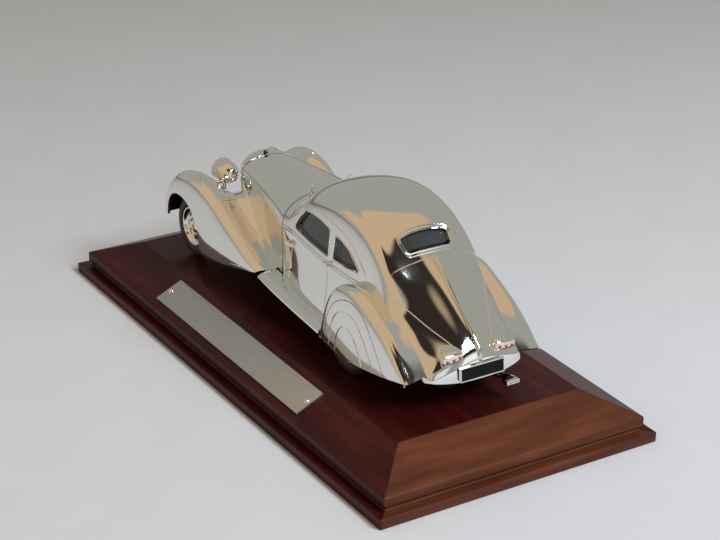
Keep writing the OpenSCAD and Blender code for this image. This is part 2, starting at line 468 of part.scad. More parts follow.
// Domed cap with its small nut, over the axle's end
module hub_cap() color(chrome) {
    translate([0, 0, 0.8]) rotate_extrude() intersection() {
        translate([0, -0.9]) circle(1.9);
        square([2, 2]);
    }
    translate([0, 0, 1.5]) cylinder(h = 0.6, r = 0.5);
}
module front_rim_left() at_wheel(front_axle_x, -1) rim();
module front_rim_right() at_wheel(front_axle_x, 1) rim();
module rear_rim_left() at_wheel(rear_axle_x, -1) rim();
module rear_rim_right() at_wheel(rear_axle_x, 1) rim();
module front_tyre_left() at_wheel(front_axle_x, -1) tyre();
module front_tyre_right() at_wheel(front_axle_x, 1) tyre();
module rear_tyre_left() at_wheel(rear_axle_x, -1) tyre();
module rear_tyre_right() at_wheel(rear_axle_x, 1) tyre();
module front_hub_caps() for (s = [-1, 1]) at_wheel(front_axle_x, s) hub_cap();
module rear_hub_caps() for (s = [-1, 1]) at_wheel(rear_axle_x, s) hub_cap();

// ---- Middle castings ----
module bonnet() color(chrome) difference() {
    union() {
        sheet(bonnet_grid, 0, wall);
        translate([post_x[0], 0, pan_top]) cylinder(h = fit_z(27.7) - pan_top, r = post_r);
    }
    screw_hole(post_x[0]);
    intersection() {
        sheet(part_of(bonnet_grid, 0, 6, 10, 14), -1, line_t);
        top_line(hinge_line, line_w);
    }
    both() intersection() {
        sheet(part_of(bonnet_grid, 0, 6, 15, 24), -1, line_t);
        side_prism(0, car_w/2) side_line(bonnet_line, line_w);
    }
}
// Raised frames round the side windows and the windscreen, and the belt moulding below them
module side_frame(outline) side_prism(car_w/4, car_w/4) rounded(pane_corner, bead_w) side_outline(outline);
module body_mouldings() both() {
    intersection() {
        sheet(part_of(body_grid, 2, 18, 14, 22), -bead_t, wall/2);
        union() {
            side_frame(door_pane);
            side_frame(quarter_pane);
        }
    }
    intersection() {
        sheet(part_of(body_grid, 0, 16, 15, 22), -bead_t, wall/2);
        side_prism(car_w/4, car_w/4) side_line(belt_line, bead_w);
    }
    intersection() {
        sheet(part_of(body_grid, 2, 8, 12, 19), -bead_t, wall/2);
        front_prism(screen_x, screen_run) rounded(pane_corner, bead_w*0.8) front_outline(windscreen_pane);
    }
}
module body_lines_cut() {
    both() for (line = door_lines) intersection() {
        sheet(part_of(body_grid, 2, 12, 15, 24), -1, line_t);
        side_prism(car_w/4, car_w/4) side_line(line, line_w);
    }
    intersection() {
        sheet(part_of(body_grid, 16, 26, 0, 24), -1, line_t);
        side_prism(-car_w/2, car_w) side_line(boot_line, line_w);
    }
}
module body_shell() color(chrome) difference() {
    union() {
        difference() {
            union() {
                sheet(body_grid, 0, wall);
                body_mouldings();
            }
            body_lines_cut();
            both() front_prism(screen_x, screen_run) rounded(pane_corner) front_outline(windscreen_pane);
            side_prism(-car_w/2, car_w) rounded(pane_corner) {
                side_outline(door_pane);
                side_outline(quarter_pane);
            }
            front_prism(rear_x, rear_run) rounded(pane_corner) front_outline(rear_pane);
        }
        difference() {
            translate([post_x[1], 0, pan_top]) cylinder(h = fit_z(27) - pan_top, r = post_r);
            sheet(part_of(body_grid, 16, 24, 9, 15), -6, wall/2);
        }
        ridge();
    }
    screw_hole(post_x[1]);
    both() translate([rear_axle_x, tyre_inner - 0.6, axle_z]) rotate([-90, 0, 0])
        cylinder(h = car_w, r = tyre_r + 0.6);
}
// Raised rib down the middle of the boot
ridge_line = [[37.4, 29.4], [38.6, 30], [44.1, 25.5], [49.1, 20.9], [53.2, 17.6], [56.2, 14.7], [57.4, 12.4],
    [57, 11.6], [55.4, 13.2], [48, 20.6], [38, 28.2]];
ridge_w = 0.5;
module ridge() side_prism(-ridge_w/2, ridge_w) side_outline(ridge_line);
module front_apron() color(chrome) difference() {
    sheet(apron_grid, 0, wing_wall);
    both() sheet(part_of(front_wing_grid, 0, 12, 0, 6), -seat_gap, seat_depth/2);
}
module radiator_shell() color(chrome) sheet(radiator_grid, 0, wall);
// Bars on a backing that comes to a point in the middle, trimmed to the shell's inside
grille_lean = 5;
grille_pitch = 0.9;
module grille_backing() linear_extrude(20)
    polygon([[0, 0], [2.9, 7.2], [3.8, 7.2], [0.9, 0], [3.8, -7.2], [2.9, -7.2]]);
module grille_bars() for (k = [-7:7]) translate([abs(k)*grille_pitch*0.4 - 0.45, k*grille_pitch - 0.2, 0])
    cube([1, 0.4, 20]);
grille_arch = [[0, 26.1], [1.9, 25.9], [3.9, 25], [5.2, 23.4], [5.5, 21], [5.2, 15], [4.9, 10.5]];
grille_half = smooth(grille_arch, 2);
module radiator_grille() color(chrome) difference() {
    intersection() {
        at([-42.4, 0, 26.6]) rotate([0, -grille_lean, 0]) translate([0, 0, -18]) {
            grille_backing();
            grille_bars();
        }
        front_prism(fit_x(-46), 8) front_outline(concat(grille_half,
            [for (i = [len(grille_half) - 1:-1:1]) [-grille_half[i][0], grille_half[i][1]]]));
    }
    sheet(radiator_grid, -seat_gap, wall + seat_gap);
}
cap_r = 0.6;
module radiator_cap() color(ebony) difference() {
    at([-39.6, 0, 27]) cylinder(h = 1.4, r = cap_r);
    sheet(radiator_grid, -seat_gap, 3*wall);
}

// ---- Wings and boards ----
module front_wing() color(chrome) difference() {
    sheet(front_wing_grid, 0, wing_wall);
    intersection() {
        sheet(part_of(front_wing_grid, 6, 24, 5, 12), -1, line_t);
        top_line(crown_line, line_w);
    }
    seat(part_of(bonnet_grid, 0, 6, 14, 24));
    seat(part_of(radiator_grid, 0, 6, 14, 24));
}
module front_wing_right() front_wing();
module front_wing_left() left() front_wing();
// Outline of a spat, grown or shrunk
module spat_outline(outline, grow) offset(delta = grow) side_outline(loop(outline, 2));
module rear_wing() color(chrome) difference() {
    sheet(rear_wing_grid, 0, wing_wall);
    seat(part_of(body_grid, 10, 28, 15, 24));
    side_prism(tyre_inner, 10) spat_outline(spat_loop, seat_gap);
}
// The spat fills the wing's opening and carries two fine grooves that follow its outline
groove_w = 0.35;
groove_t = 0.2;
spat_reach = [for (row = rear_wing_grid) concat([for (j = [4:len(row) - 1]) row[j]],
    [2*row[len(row) - 1] - row[len(row) - 2]])];
module spat() color(chrome) difference() {
    intersection() {
        sheet(part_of(rear_wing_grid, 0, 17, 4, 10), 0, wing_wall);
        side_prism(tyre_inner, 10) spat_outline(spat_loop, 0);
    }
    for (outline = [spat_mid_loop, spat_inner_loop]) intersection() {
        sheet(spat_reach, -1, groove_t);
        side_prism(tyre_inner, 10) difference() {
            spat_outline(outline, 0);
            spat_outline(outline, -groove_w);
        }
    }
}
module rear_wing_right() rear_wing();
module rear_wing_left() left() rear_wing();
module rear_spat_right() spat();
module rear_spat_left() left() spat();
module board() color(chrome) difference() {
    union() {
        sheet(board_grid, 0, wing_wall);
        intersection() {
            sheet(board_grid, -bead_t/2, wing_wall/2);
            for (rib = board_ribs) top_line(rib, bead_w/2);
        }
    }
    seat(part_of(body_grid, 0, 16, 18, 24));
    seat(part_of(bonnet_grid, 3, 6, 18, 24));
    seat(part_of(front_wing_grid, 18, 24, 0, 14));
}
module running_board_right() board();
module running_board_left() left() board();

// ---- Lamps ----
lamp_place = [-46.8, 7.25, 21.3];
lamp_ball_r = 0.95;
module lamp_bowl() at(lamp_place) rotate([0, 90, 0]) rotate_extrude() polygon(concat(
    [[0, 0.8 - lamp_l/2], [lamp_r - 0.5, 0.5 - lamp_l/2], [lamp_r - 0.2, -lamp_l/2]],
    smooth([[lamp_r - 0.05, -lamp_l/2], [lamp_r, -lamp_l*0.2], [lamp_r, 0], [lamp_r*0.92, lamp_l*0.24],
        [lamp_r*0.56, lamp_l*0.43], [0.01, lamp_l/2]], 3), [[0, lamp_l/2]]));
// A bowl with a ball finial at its tail
module headlamp() color(chrome) {
    lamp_bowl();
    at(lamp_place) translate([lamp_l/2 - 0.1, 0, -0.4]) sphere(r = lamp_ball_r, $fn = 24);
}
module headlamp_right() headlamp();
module headlamp_left() left() headlamp();
module headlamp_lenses() color([0.85, 0.87, 0.88, 0.9]) both() at(lamp_place) rotate([0, 90, 0])
    rotate_extrude() polygon([[0, 0.76 - lamp_l/2], [lamp_r - 0.55, 0.46 - lamp_l/2],
        [lamp_r - 0.3, -lamp_l/2], [lamp_r*0.6, -lamp_l/2 - 0.4], [0, -lamp_l/2 - 0.6]]);
// Bar from the wing to the lamp, and the stalk under it, both trimmed to what they meet
lamp_bar_x = -45.4;
lamp_bar_h = 19.8;
module headlamp_bar() color(chrome) both() difference() {
    union() {
        at([lamp_bar_x, 7.6, lamp_bar_h]) rotate([-90, 0, 0]) cylinder(h = fit_y(4.3), d = lamp_bar_d);
        at([lamp_bar_x, 8.9, lamp_bar_h - 3.4]) cylinder(h = 3.4*car_h/lines_h, d = lamp_bar_d);
    }
    sheet(part_of(front_wing_grid, 4, 14, 0, 8), -seat_gap, seat_depth/2);
    lamp_solid();
}
// All that a lamp takes up, with the clearance of a seat
module lamp_solid() at(lamp_place) rotate([0, 90, 0]) rotate_extrude() intersection() {
    offset(delta = seat_gap) polygon(concat([[-lamp_r, -lamp_l/2], [lamp_r, -lamp_l/2]],
        smooth([[lamp_r, -lamp_l/2], [lamp_r, -lamp_l*0.2], [lamp_r, 0], [lamp_r*0.92, lamp_l*0.24],
        [lamp_r*0.56, lamp_l*0.43], [0.01, lamp_l/2]], 3), [[-lamp_r, lamp_l/2]]));
    translate([0, -lamp_l]) square([2*lamp_r, 2*lamp_l]);
}
lamp_pod = [55.6, 7.05, 13.45];
jewel_pitch = 1.65;
jewel_fall = 0.15;
jewel_r = 0.42;
tail_patch = part_of(body_grid, 22, 28, 12, 24);
module tail_lamp_pods() color(chrome) both() difference() {
    at(lamp_pod) hull() {
        for (s = [-1, 1]) translate([0, s*jewel_pitch, -s*jewel_fall]) sphere(r = 1.15, $fn = 16);
        for (s = [-1, 1]) translate([-2.2, s*0.9, 1.2]) sphere(r = 0.8, $fn = 16);
    }
    sheet(tail_patch, -seat_gap, 5);
    jewels(seat_gap);
}
module jewels(grow) for (k = [-1:1]) at(lamp_pod) translate([0.6, k*jewel_pitch, -k*jewel_fall - 0.1])
    rotate([0, 90, 0]) cylinder(h = 0.8, r = jewel_r + grow);
module tail_lamp_jewels() color([0.6, 0.02, 0.05]) both() jewels(0);

// ---- Glazing: panes behind the openings, following the shell ----
module pane_sheet(i0, i1, j0, j1) sheet(part_of(body_grid, i0, i1, j0, j1), wall + seat_gap,
    wall + seat_gap + glass_t);
module side_pane(outline) color(smoked) intersection() {
    pane_sheet(4, 18, 14, 22);
    side_prism(car_w/4, car_w/4) rounded(pane_corner, glass_lap) side_outline(outline);
}
module windscreen() color(smoked) both() intersection() {
    pane_sheet(2, 8, 12, 19);
    front_prism(screen_x, screen_run) intersection() {
        rounded(pane_corner, glass_lap) front_outline(windscreen_pane);
        translate([seat_gap, 0]) square([car_w/2, road + car_h]);
    }
}
module door_glass_right() side_pane(door_pane);
module door_glass_left() left() side_pane(door_pane);
module quarter_glass_right() side_pane(quarter_pane);
module quarter_glass_left() left() side_pane(quarter_pane);
module rear_glass() color(smoked) intersection() {
    pane_sheet(13, 20, 6, 18);
    front_prism(rear_x, rear_run) rounded(pane_corner, glass_lap) front_outline(rear_pane);
}
module rear_window_frame() color(chrome) intersection() {
    sheet(part_of(body_grid, 13, 20, 6, 18), -0.4, 0);
    front_prism(rear_x, rear_run) difference() {
        rounded(pane_corner, 0.6) front_outline(rear_pane);
        rounded(pane_corner) front_outline(rear_pane);
    }
}

// ---- Interior ----
tub_half = 11.6;
tub_wall = 0.8;
tub_step = 4.6;
tub_floor = [[-4, 0], [21, 0], [23, tub_step], [35.4, tub_step]];
tub_top = fit_z(21);
module tub_outline() polygon(concat([for (p = tub_floor) [fit_x(p[0]), pan_top + p[1]]],
    [[fit_x(35.4), tub_top], [fit_x(-4), tub_top]]));
module interior_tub() color(ebony) difference() {
    side_prism(-tub_half, 2*tub_half) tub_outline();
    side_prism(tub_wall - tub_half, 2*(tub_half - tub_wall)) intersection() {
        translate([tub_wall, tub_wall]) tub_outline();
        translate([-tub_wall, tub_wall]) tub_outline();
    }
    translate([fit_x(-4) + tub_wall, tub_wall - tub_half, tub_top - tub_wall - 0.1])
        cube([fit_x(35.4) - fit_x(-4) - 2*tub_wall, 2*(tub_half - tub_wall), 5]);
}
module cushion(size) hull() for (x = [1, size[0] - 1], y = [1, size[1] - 1]) translate([x, y, 0])
    cylinder(h = size[2], r = 1);
seat_w = 8.4;
module front_seats() color([0.1, 0.1, 0.1]) for (s = [-1, 1]) translate([fit_x(6), s*5.2 - seat_w/2,
    pan_top + tub_wall]) {
    cushion([9, seat_w, 6]);
    translate([7.4, 0, 4]) rotate([0, 10, 0]) cushion([2.4, seat_w, 12]);
}
module rear_seat() color([0.1, 0.1, 0.1]) translate([fit_x(24.2), -9.5, pan_top + tub_step + tub_wall]) {
    cushion([7, 19, 4]);
    translate([5.4, 0, 2]) rotate([0, 12, 0]) cushion([2.2, 19, 8.6]);
}
module dashboard() color(ebony) difference() {
    translate([fit_x(-4) + tub_wall, -10.4, fit_z(17)]) cube([2, 20.8, 5.6]);
    helm_frame() translate([0, 0, -1]) cylinder(h = 8, r = 0.5);
}
helm_place = [3.2, -5.2, 21.6];
module helm_frame() at(helm_place) rotate([0, -68, 0]) children();
module steering_wheel() color(ebony) helm_frame() {
    rotate_extrude() translate([helm_d/2 - 0.35, 0]) circle(0.35, $fn = 16);
    for (a = [90, 210, 330]) rotate(a) translate([0, -0.25, -0.15]) cube([helm_d/2 - 0.3, 0.5, 0.3]);
    translate([0, 0, -0.3]) cylinder(h = 0.7, r = 0.8);
    translate([0, 0, 0.2]) cylinder(h = 5, r = 0.4);
}

// ---- Small fittings ----
module door_handles() color(chrome) both() at([-5.2, 13.02, 19.4]) {
    translate([0, seat_gap, 0]) rotate([-90, 0, 0]) cylinder(h = 0.7, r = 0.35);
    translate([-0.4, 0.6, -0.35]) cube([3, 0.5, 0.7]);
}
module door_hinges() color(chrome) both() at([14.4, 13.99, 21.5]) translate([0, 0.5 + bead_t + seat_gap, 0])
    cylinder(h = 1.2, r = 0.5, center = true);
module wipers() color(chrome) both() at([-9, 4.6, 28.56]) {
    cylinder(h = 0.9, r = 0.4);
    rotate([0, 0, 18]) translate([-0.35, -0.15, 0.6]) rotate([0, -50, 0]) cube([3.8, 0.3, 0.3]);
}
plate_lean = 5.5;
plate_rim = 0.25;
plate_t = 0.3;
module plate_frame() at([57.24, 0, 9.6]) rotate([0, -plate_lean, 0]) children();
module plate_slab(x, t, grow) translate([x, -tag_rear_l/2 - grow, -tag_rear_h/2 - grow])
    cube([t, tag_rear_l + 2*grow, tag_rear_h + 2*grow]);
module number_plate() color(ebony) plate_frame() plate_slab(plate_t, plate_t, 0);
module number_plate_frame() color(chrome) plate_frame() difference() {
    plate_slab(0, 2*plate_t + 0.1, plate_rim);
    plate_slab(plate_t - fit_gap, 2, fit_gap);
}
// Pipe that rises to a flat fishtail with an open mouth
pipe_run = 10.4;
pipe_rise = 79;
tail_w = 3.4;
tail_h = 0.9;
module fishtail(grow, run) translate([run, -tail_w/2 - grow, -tail_h/2 - grow])
    cube([0.2, tail_w + 2*grow, tail_h + 2*grow]);
module exhaust_pipe() color(chrome) at([46, 7.5, 3.2]) {
    rotate([0, pipe_rise, 0]) cylinder(h = pipe_run, d = pipe_d);
    translate([pipe_run*sin(pipe_rise), 0, pipe_run*cos(pipe_rise) + 0.1]) difference() {
        hull() {
            rotate([0, 90, 0]) cylinder(h = 0.1, d = pipe_d);
            translate([1, -tail_w*0.42, -tail_h/2]) cube([0.1, tail_w*0.84, tail_h]);
            fishtail(0, 3.1);
        }
        hull() for (k = [0, 1]) fishtail(-0.2, 2.5 + k);
    }
}

plinth();
nameplate();
nameplate_pins();
plinth_screws();
base_plate();
bonnet();
body_shell();
front_apron();
front_wing_left();
front_wing_right();
rear_wing_left();
rear_wing_right();
rear_spat_left();
rear_spat_right();
running_board_left();
running_board_right();
radiator_shell();
radiator_grille();
radiator_cap();
headlamp_left();
headlamp_right();
headlamp_lenses();
headlamp_bar();
windscreen();
door_glass_left();
door_glass_right();
quarter_glass_left();
quarter_glass_right();
rear_glass();
rear_window_frame();
interior_tub();
front_seats();
rear_seat();
dashboard();
steering_wheel();
door_handles();
door_hinges();
wipers();
tail_lamp_pods();
tail_lamp_jewels();
number_plate();
number_plate_frame();
exhaust_pipe();
front_axle();
rear_axle();
front_rim_left();
front_rim_right();
rear_rim_left();
rear_rim_right();
front_tyre_left();
front_tyre_right();
rear_tyre_left();
rear_tyre_right();
front_hub_caps();
rear_hub_caps();
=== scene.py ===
import math
import bpy
from mathutils import Matrix, Vector
from mathutils.bvhtree import BVHTree
from mathutils.interpolate import poly_3d_calc


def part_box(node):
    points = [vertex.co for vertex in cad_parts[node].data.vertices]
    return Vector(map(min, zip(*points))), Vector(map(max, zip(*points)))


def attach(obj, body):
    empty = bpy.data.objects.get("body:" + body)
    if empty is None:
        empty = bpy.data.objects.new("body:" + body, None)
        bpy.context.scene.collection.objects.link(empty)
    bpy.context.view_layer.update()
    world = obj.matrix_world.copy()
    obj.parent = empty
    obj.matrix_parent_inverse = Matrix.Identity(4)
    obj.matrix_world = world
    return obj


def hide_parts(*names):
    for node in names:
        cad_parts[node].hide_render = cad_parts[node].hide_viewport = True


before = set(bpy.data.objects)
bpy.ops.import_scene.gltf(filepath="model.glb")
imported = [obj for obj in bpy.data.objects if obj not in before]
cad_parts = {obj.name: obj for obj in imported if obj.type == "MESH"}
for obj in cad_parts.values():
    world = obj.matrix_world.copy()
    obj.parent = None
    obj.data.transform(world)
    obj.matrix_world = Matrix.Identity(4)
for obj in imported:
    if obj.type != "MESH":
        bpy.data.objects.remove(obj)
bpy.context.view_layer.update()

mm = 0.001

# ---- Camera ----
# A long lens above and behind the car's left quarter, aimed a little past the middle of the plinth.
lens_mm = 105.1
eye = Vector((393.5, -245.8, 239.5))*mm
aim = Vector((-17.8, 15.2, 11.1))*mm
roll = math.radians(0.94)
bpy.ops.object.camera_add(location=eye)
camera = bpy.context.object
camera.data.lens = lens_mm
camera.data.sensor_width = 36
camera.data.clip_end = 50
camera.matrix_world = (Matrix.Translation(eye) @ (aim - eye).to_track_quat("-Z", "Y").to_matrix().to_4x4()
    @ Matrix.Rotation(roll, 4, "Z"))
bpy.context.scene.camera = camera
bpy.context.scene.view_settings.view_transform = "Standard"

# ---- Studio ----
# A pale paper floor that runs on behind the plinth, lit by one soft window behind the car.
# Plated metal shows the room: grey paper behind, a warm ceiling and a dark doorway over the window.
def new_material(name):
    material = bpy.data.materials.new(name)
    material.use_nodes = True
    return material, material.node_tree.nodes, material.node_tree.links, material.node_tree.nodes["Principled BSDF"]


def object_noise(nodes, links, stretch, scale, detail=3.0, centre=(0, 0, 0)):
    """Noise that is fixed to the piece, stretched along its axes."""
    place = nodes.new("ShaderNodeTexCoord")
    mapping = nodes.new("ShaderNodeMapping")
    mapping.inputs["Scale"].default_value = stretch
    mapping.inputs["Location"].default_value = centre
    noise = nodes.new("ShaderNodeTexNoise")
    noise.inputs["Scale"].default_value = scale
    noise.inputs["Detail"].default_value = detail
    links.new(place.outputs["Object"], mapping.inputs["Vector"])
    links.new(mapping.outputs["Vector"], noise.inputs["Vector"])
    return noise


def ramp(nodes, links, source, stops):
    """Colours laid out along a noise's value."""
    colours = nodes.new("ShaderNodeValToRGB")
    while len(colours.color_ramp.elements) < len(stops):
        colours.color_ramp.elements.new(0.5)
    for element, (position, colour) in zip(colours.color_ramp.elements, stops):
        element.position = position
        element.color = (*colour, 1)
    links.new(source, colours.inputs["Fac"])
    return colours


def grained_bump(nodes, links, shader, source, strength, distance):
    bump = nodes.new("ShaderNodeBump")
    bump.inputs["Strength"].default_value = strength
    bump.inputs["Distance"].default_value = distance
    links.new(source, bump.inputs["Height"])
    links.new(bump.outputs["Normal"], shader.inputs["Normal"])


def patterned(name, stretch, scale, detail, stops=None, bump=None, **sockets):
    """A material with noise in its colour or its bump, and plain values on its other sockets."""
    material, nodes, links, shader = new_material(name)
    noise = object_noise(nodes, links, stretch, scale, detail)
    if stops:
        links.new(ramp(nodes, links, noise.outputs["Fac"], stops).outputs["Color"], shader.inputs["Base Color"])
    for socket, value in sockets.items():
        shader.inputs[socket.replace("_", " ")].default_value = value
    if bump:
        grained_bump(nodes, links, shader, noise.outputs["Fac"], *bump)
    return material


def wire(nodes, links, kind, values, output=0, **settings):
    """Adds a node with these settings; each value of its sockets is a number, a colour or another output."""
    node = nodes.new("ShaderNode" + kind)
    for setting, value in settings.items():
        setattr(node, setting, value)
    for socket, value in values.items():
        if isinstance(value, bpy.types.NodeSocket):
            links.new(value, node.inputs[socket])
        else:
            node.inputs[socket].default_value = value
    return node.outputs[output]


bpy.ops.object.select_all(action="DESELECT")
bpy.ops.mesh.primitive_grid_add(x_subdivisions=60, y_subdivisions=60, size=6)
floor = bpy.context.object
floor.name = "paper_floor"
paper, nodes, links, shader = new_material("paper")
fibres = object_noise(nodes, links, (1, 1, 1), 60, 2)
tone = ramp(nodes, links, fibres.outputs["Fac"], [(0.3, (0.97, 0.97, 0.97)), (0.7, (1, 1, 1))])
# Painted shade: the paper's colour darkens away from the window, standing in for the window's light falling off across
# the floor
ground = nodes.new("ShaderNodeTexCoord")
away = wire(nodes, links, "VectorMath", {0: ground.outputs["Object"], 1: (-0.85, 0.53, 0)}, "Value",
    operation="DOT_PRODUCT")
painted_light_falloff = ramp(nodes, links, away, [(0.0, (0.620, 0.620, 0.640)), (0.45, (0.33, 0.335, 0.325))])
both = wire(nodes, links, "MixRGB", {"Fac": 1, "Color1": painted_light_falloff.outputs["Color"], "Color2": tone.outputs["Color"]},
    blend_type="MULTIPLY")
links.new(both, shader.inputs["Base Color"])
shader.inputs["Roughness"].default_value = 0.9
shader.inputs["Specular IOR Level"].default_value = 0.1
floor.data.materials.append(paper)

world = bpy.data.worlds.new("room")
bpy.context.scene.world = world
world.use_nodes = True
air_nodes, air_links = world.node_tree.nodes, world.node_tree.links
air = air_nodes["Background"]
air.inputs["Strength"].default_value = 1


def maths(operation, *values):
    """A sum in the world's nodes; each input is a socket or a number."""
    return wire(air_nodes, air_links, "Math", dict(enumerate(values)), operation=operation)


look = air_nodes.new("ShaderNodeTexCoord")
parts = air_nodes.new("ShaderNodeSeparateXYZ")
air_links.new(look.outputs["Generated"], parts.inputs[0])
turn = maths("MULTIPLY", maths("ARCTAN2", parts.outputs["Y"], parts.outputs["X"]), 180/math.pi)
rise = maths("MULTIPLY", maths("ARCSINE", parts.outputs["Z"]), 180/math.pi)


def soft_range(value, low, high, edge):
    """1 between two angles, with soft edges."""
    ends = [wire(air_nodes, air_links, "MapRange", {"Value": value, "From Min": centre - sign*edge,
        "From Max": centre + sign*edge}, "Result", interpolation_type="SMOOTHSTEP")
        for centre, sign in ((low, 1), (high, -1))]
    return maths("MULTIPLY", *ends)


def hang(below, colour, turns, rises, edge=2.0, lean=0.0, share=1.0):
    """A patch of colour on the room's walls, from one heading and height to another."""
    height = maths("MULTIPLY_ADD", turn, -lean, rise) if lean else rise
    cover = maths("MULTIPLY", soft_range(turn, *turns, edge), soft_range(height, *rises, edge))
    return wire(air_nodes, air_links, "MixRGB", {"Fac": maths("MULTIPLY", cover, share),
        "Color1": (*below, 1) if isinstance(below, tuple) else below, "Color2": (*colour, 1)})


grey_paper, warm_ceiling, doorway = (0.36, 0.365, 0.335), (0.60, 0.44, 0.28), (0.03, 0.022, 0.018)
room = hang(grey_paper, warm_ceiling, (-400, 400), (56, 200), 1.5)
room = hang(room, warm_ceiling, (-143, -38), (8, 200), 4)
room = hang(room, (0.30, 0.31, 0.29), (-38, 12), (-20, 44), 4)
room = hang(room, doorway, (-58, 54), (43.5, 67), 2.5)
room = hang(room, doorway, (-100, -50), (84, 94), 3, lean=-0.45, share=0.85)
room = hang(room, doorway, (-76, -48), (88, 101), 3, lean=-0.6, share=0.7)
room = hang(room, (0.02, 0.02, 0.02), (8, 40), (24, 60), 2)
room = hang(room, (1.0, 1.0, 1.02), (17, 33), (2, 20), 2)
room = hang(room, (1.0, 1.0, 1.02), (-20, 4), (2, 26), 3, share=0.7)
air_links.new(room, air.inputs["Color"])


window = bpy.data.lights.new("window", "AREA")
window.shape = "RECTANGLE"
window.size, window.size_y = 0.38, 0.42
window.energy = 14.5
window.color = (0.80, 0.90, 1.0)
lamp = bpy.data.objects.new("window", window)
bpy.context.scene.collection.objects.link(lamp)
lamp.location = (0.77, 0.31, 0.86)
lamp.rotation_euler = (-lamp.location).to_track_quat("-Z", "Y").to_euler()

# ---- Plinth ----
# A hardwood block with a slab foot, a half-round groove, an upright fascia and bevels up to a flat top.
# It is stained red-brown and sprayed with lacquer that leaves soft edges.
plinth_size = (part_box("plinth")[1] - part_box("plinth")[0])
plinth_top = plinth_size[2]
slab_h, slab_step, groove_r, fascia_top = 2.45*mm, 2.2*mm, 0.6*mm, 6*mm
bevel_run = (11.5*mm, 10.8*mm)


def only(piece):
    """Leaves one piece selected and active."""
    bpy.ops.object.select_all(action="DESELECT")
    piece.select_set(True)
    bpy.context.view_layer.objects.active = piece


def pick(piece, test):
    """Opens edit mode with only the faces that pass a test selected."""
    only(piece)
    bpy.ops.object.mode_set(mode="EDIT")
    bpy.ops.mesh.select_mode(type="FACE")
    bpy.ops.mesh.select_all(action="DESELECT")
    bpy.ops.object.mode_set(mode="OBJECT")
    for face in piece.data.polygons:
        face.select = test(face)
    bpy.ops.object.mode_set(mode="EDIT")


def work(piece, kind, **settings):
    """Puts a modifier with these settings on a piece and applies it."""
    only(piece)
    modifier = piece.modifiers.new(kind.title(), kind)
    for name, value in settings.items():
        setattr(modifier, name, value)
    bpy.ops.object.modifier_apply(modifier=modifier.name)


def block(name, low, high):
    """A block between two corners, ready to be shaped."""
    low, high = Vector(low), Vector(high)
    bpy.ops.object.select_all(action="DESELECT")
    bpy.ops.mesh.primitive_cube_add(size=1, location=(low + high)/2, scale=high - low)
    piece = bpy.context.object
    piece.name = name
    bpy.ops.object.transform_apply(location=True, rotation=True, scale=True)
    return piece


def soften(piece, width, angle=30, segments=2):
    """Rounds the edges that turn by more than an angle and smooths the rest."""
    work(piece, "BEVEL", width=width, segments=segments, limit_method="ANGLE",
        angle_limit=math.radians(angle), harden_normals=False, use_clamp_overlap=True)
    only(piece)
    bpy.ops.object.shade_smooth_by_angle(angle=math.radians(angle))


def dress(piece, material, body="display", replaced=()):
    """Gives a finished piece its finish and its body, and hides the nodes that it stands for."""
    piece.data.materials.clear()
    piece.data.materials.append(material)
    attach(piece, body)
    if replaced:
        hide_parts(*replaced)


def in_silver(piece, *nodes, body="display"):
    """Dresses a plated piece."""
    dress(piece, bright_plating, body, nodes)


def both_sides(piece, node):
    """Plates a right-hand piece and its left-hand copy; their names and nodes differ in that word only."""
    twin = copy_of(piece, piece.name.replace("right", "left"), to_left)
    in_silver(piece, node + "_right")
    in_silver(twin, node + "_left")


def cut(piece, cutter, operation="DIFFERENCE"):
    """Cuts a piece with another one, which is used up."""
    work(piece, "BOOLEAN", object=cutter, operation=operation, solver="EXACT")
    bpy.data.objects.remove(cutter)


def lift(piece, rise, half):
    """Draws the selected top face up and brings its outline to new half sizes."""
    height = max(vertex.co.z for vertex in piece.data.vertices)
    old = [max(abs(v.co[k]) for v in piece.data.vertices if v.co.z > height - 1e-6) for k in (0, 1)]
    bpy.ops.object.mode_set(mode="EDIT")
    bpy.ops.mesh.extrude_region_move(TRANSFORM_OT_translate={"value": (0, 0, rise)})
    bpy.ops.transform.resize(value=(half[0]/old[0], half[1]/old[1], 1), center_override=(0, 0, height + rise))
    bpy.ops.object.mode_set(mode="OBJECT")


half_l, half_w = plinth_size[0]/2, plinth_size[1]/2
plinth = block("wood_plinth", (-half_l, -half_w, 0), (half_l, half_w, slab_h))
pick(plinth, lambda face: face.normal.z > 0.9)
bpy.ops.mesh.inset(thickness=slab_step)
bpy.ops.object.mode_set(mode="OBJECT")
waist = (half_l - slab_step, half_w - slab_step)
level = 0
for step in range(1, 13):
    turn = math.pi*step/12
    rise = groove_r*(1 - math.cos(turn))
    depth = groove_r*math.sin(turn)
    lift(plinth, rise - level, (waist[0] - depth, waist[1] - depth))
    level = rise
lift(plinth, fascia_top - slab_h - 2*groove_r, waist)
lift(plinth, plinth_top - fascia_top, (waist[0] - bevel_run[0], waist[1] - bevel_run[1]))
soften(plinth, 0.35*mm, 18, 3)
screw_places = [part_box("plinth_screws")[0][0] + 2*mm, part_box("plinth_screws")[1][0] - 2*mm]
for x in screw_places:
    bpy.ops.object.select_all(action="DESELECT")
    bpy.ops.mesh.primitive_cylinder_add(vertices=48, radius=2.4*mm, depth=5.5*mm, location=(x, 0, 1.75*mm))
    bpy.ops.object.transform_apply(location=True)
    cut(plinth, bpy.context.object)
work(plinth, "WEIGHTED_NORMAL", weight=100, keep_sharp=True)

wood_with_painted_light, nodes, links, shader = new_material("stained_hardwood_painted_light")
grain = object_noise(nodes, links, (0.12, 1, 1), 260, 6)
tone = ramp(nodes, links, grain.outputs["Fac"],
    [(0.3, (0.020, 0.0016, 0.0012)), (0.55, (0.040, 0.0032, 0.0022)), (0.75, (0.068, 0.0090, 0.0055))])
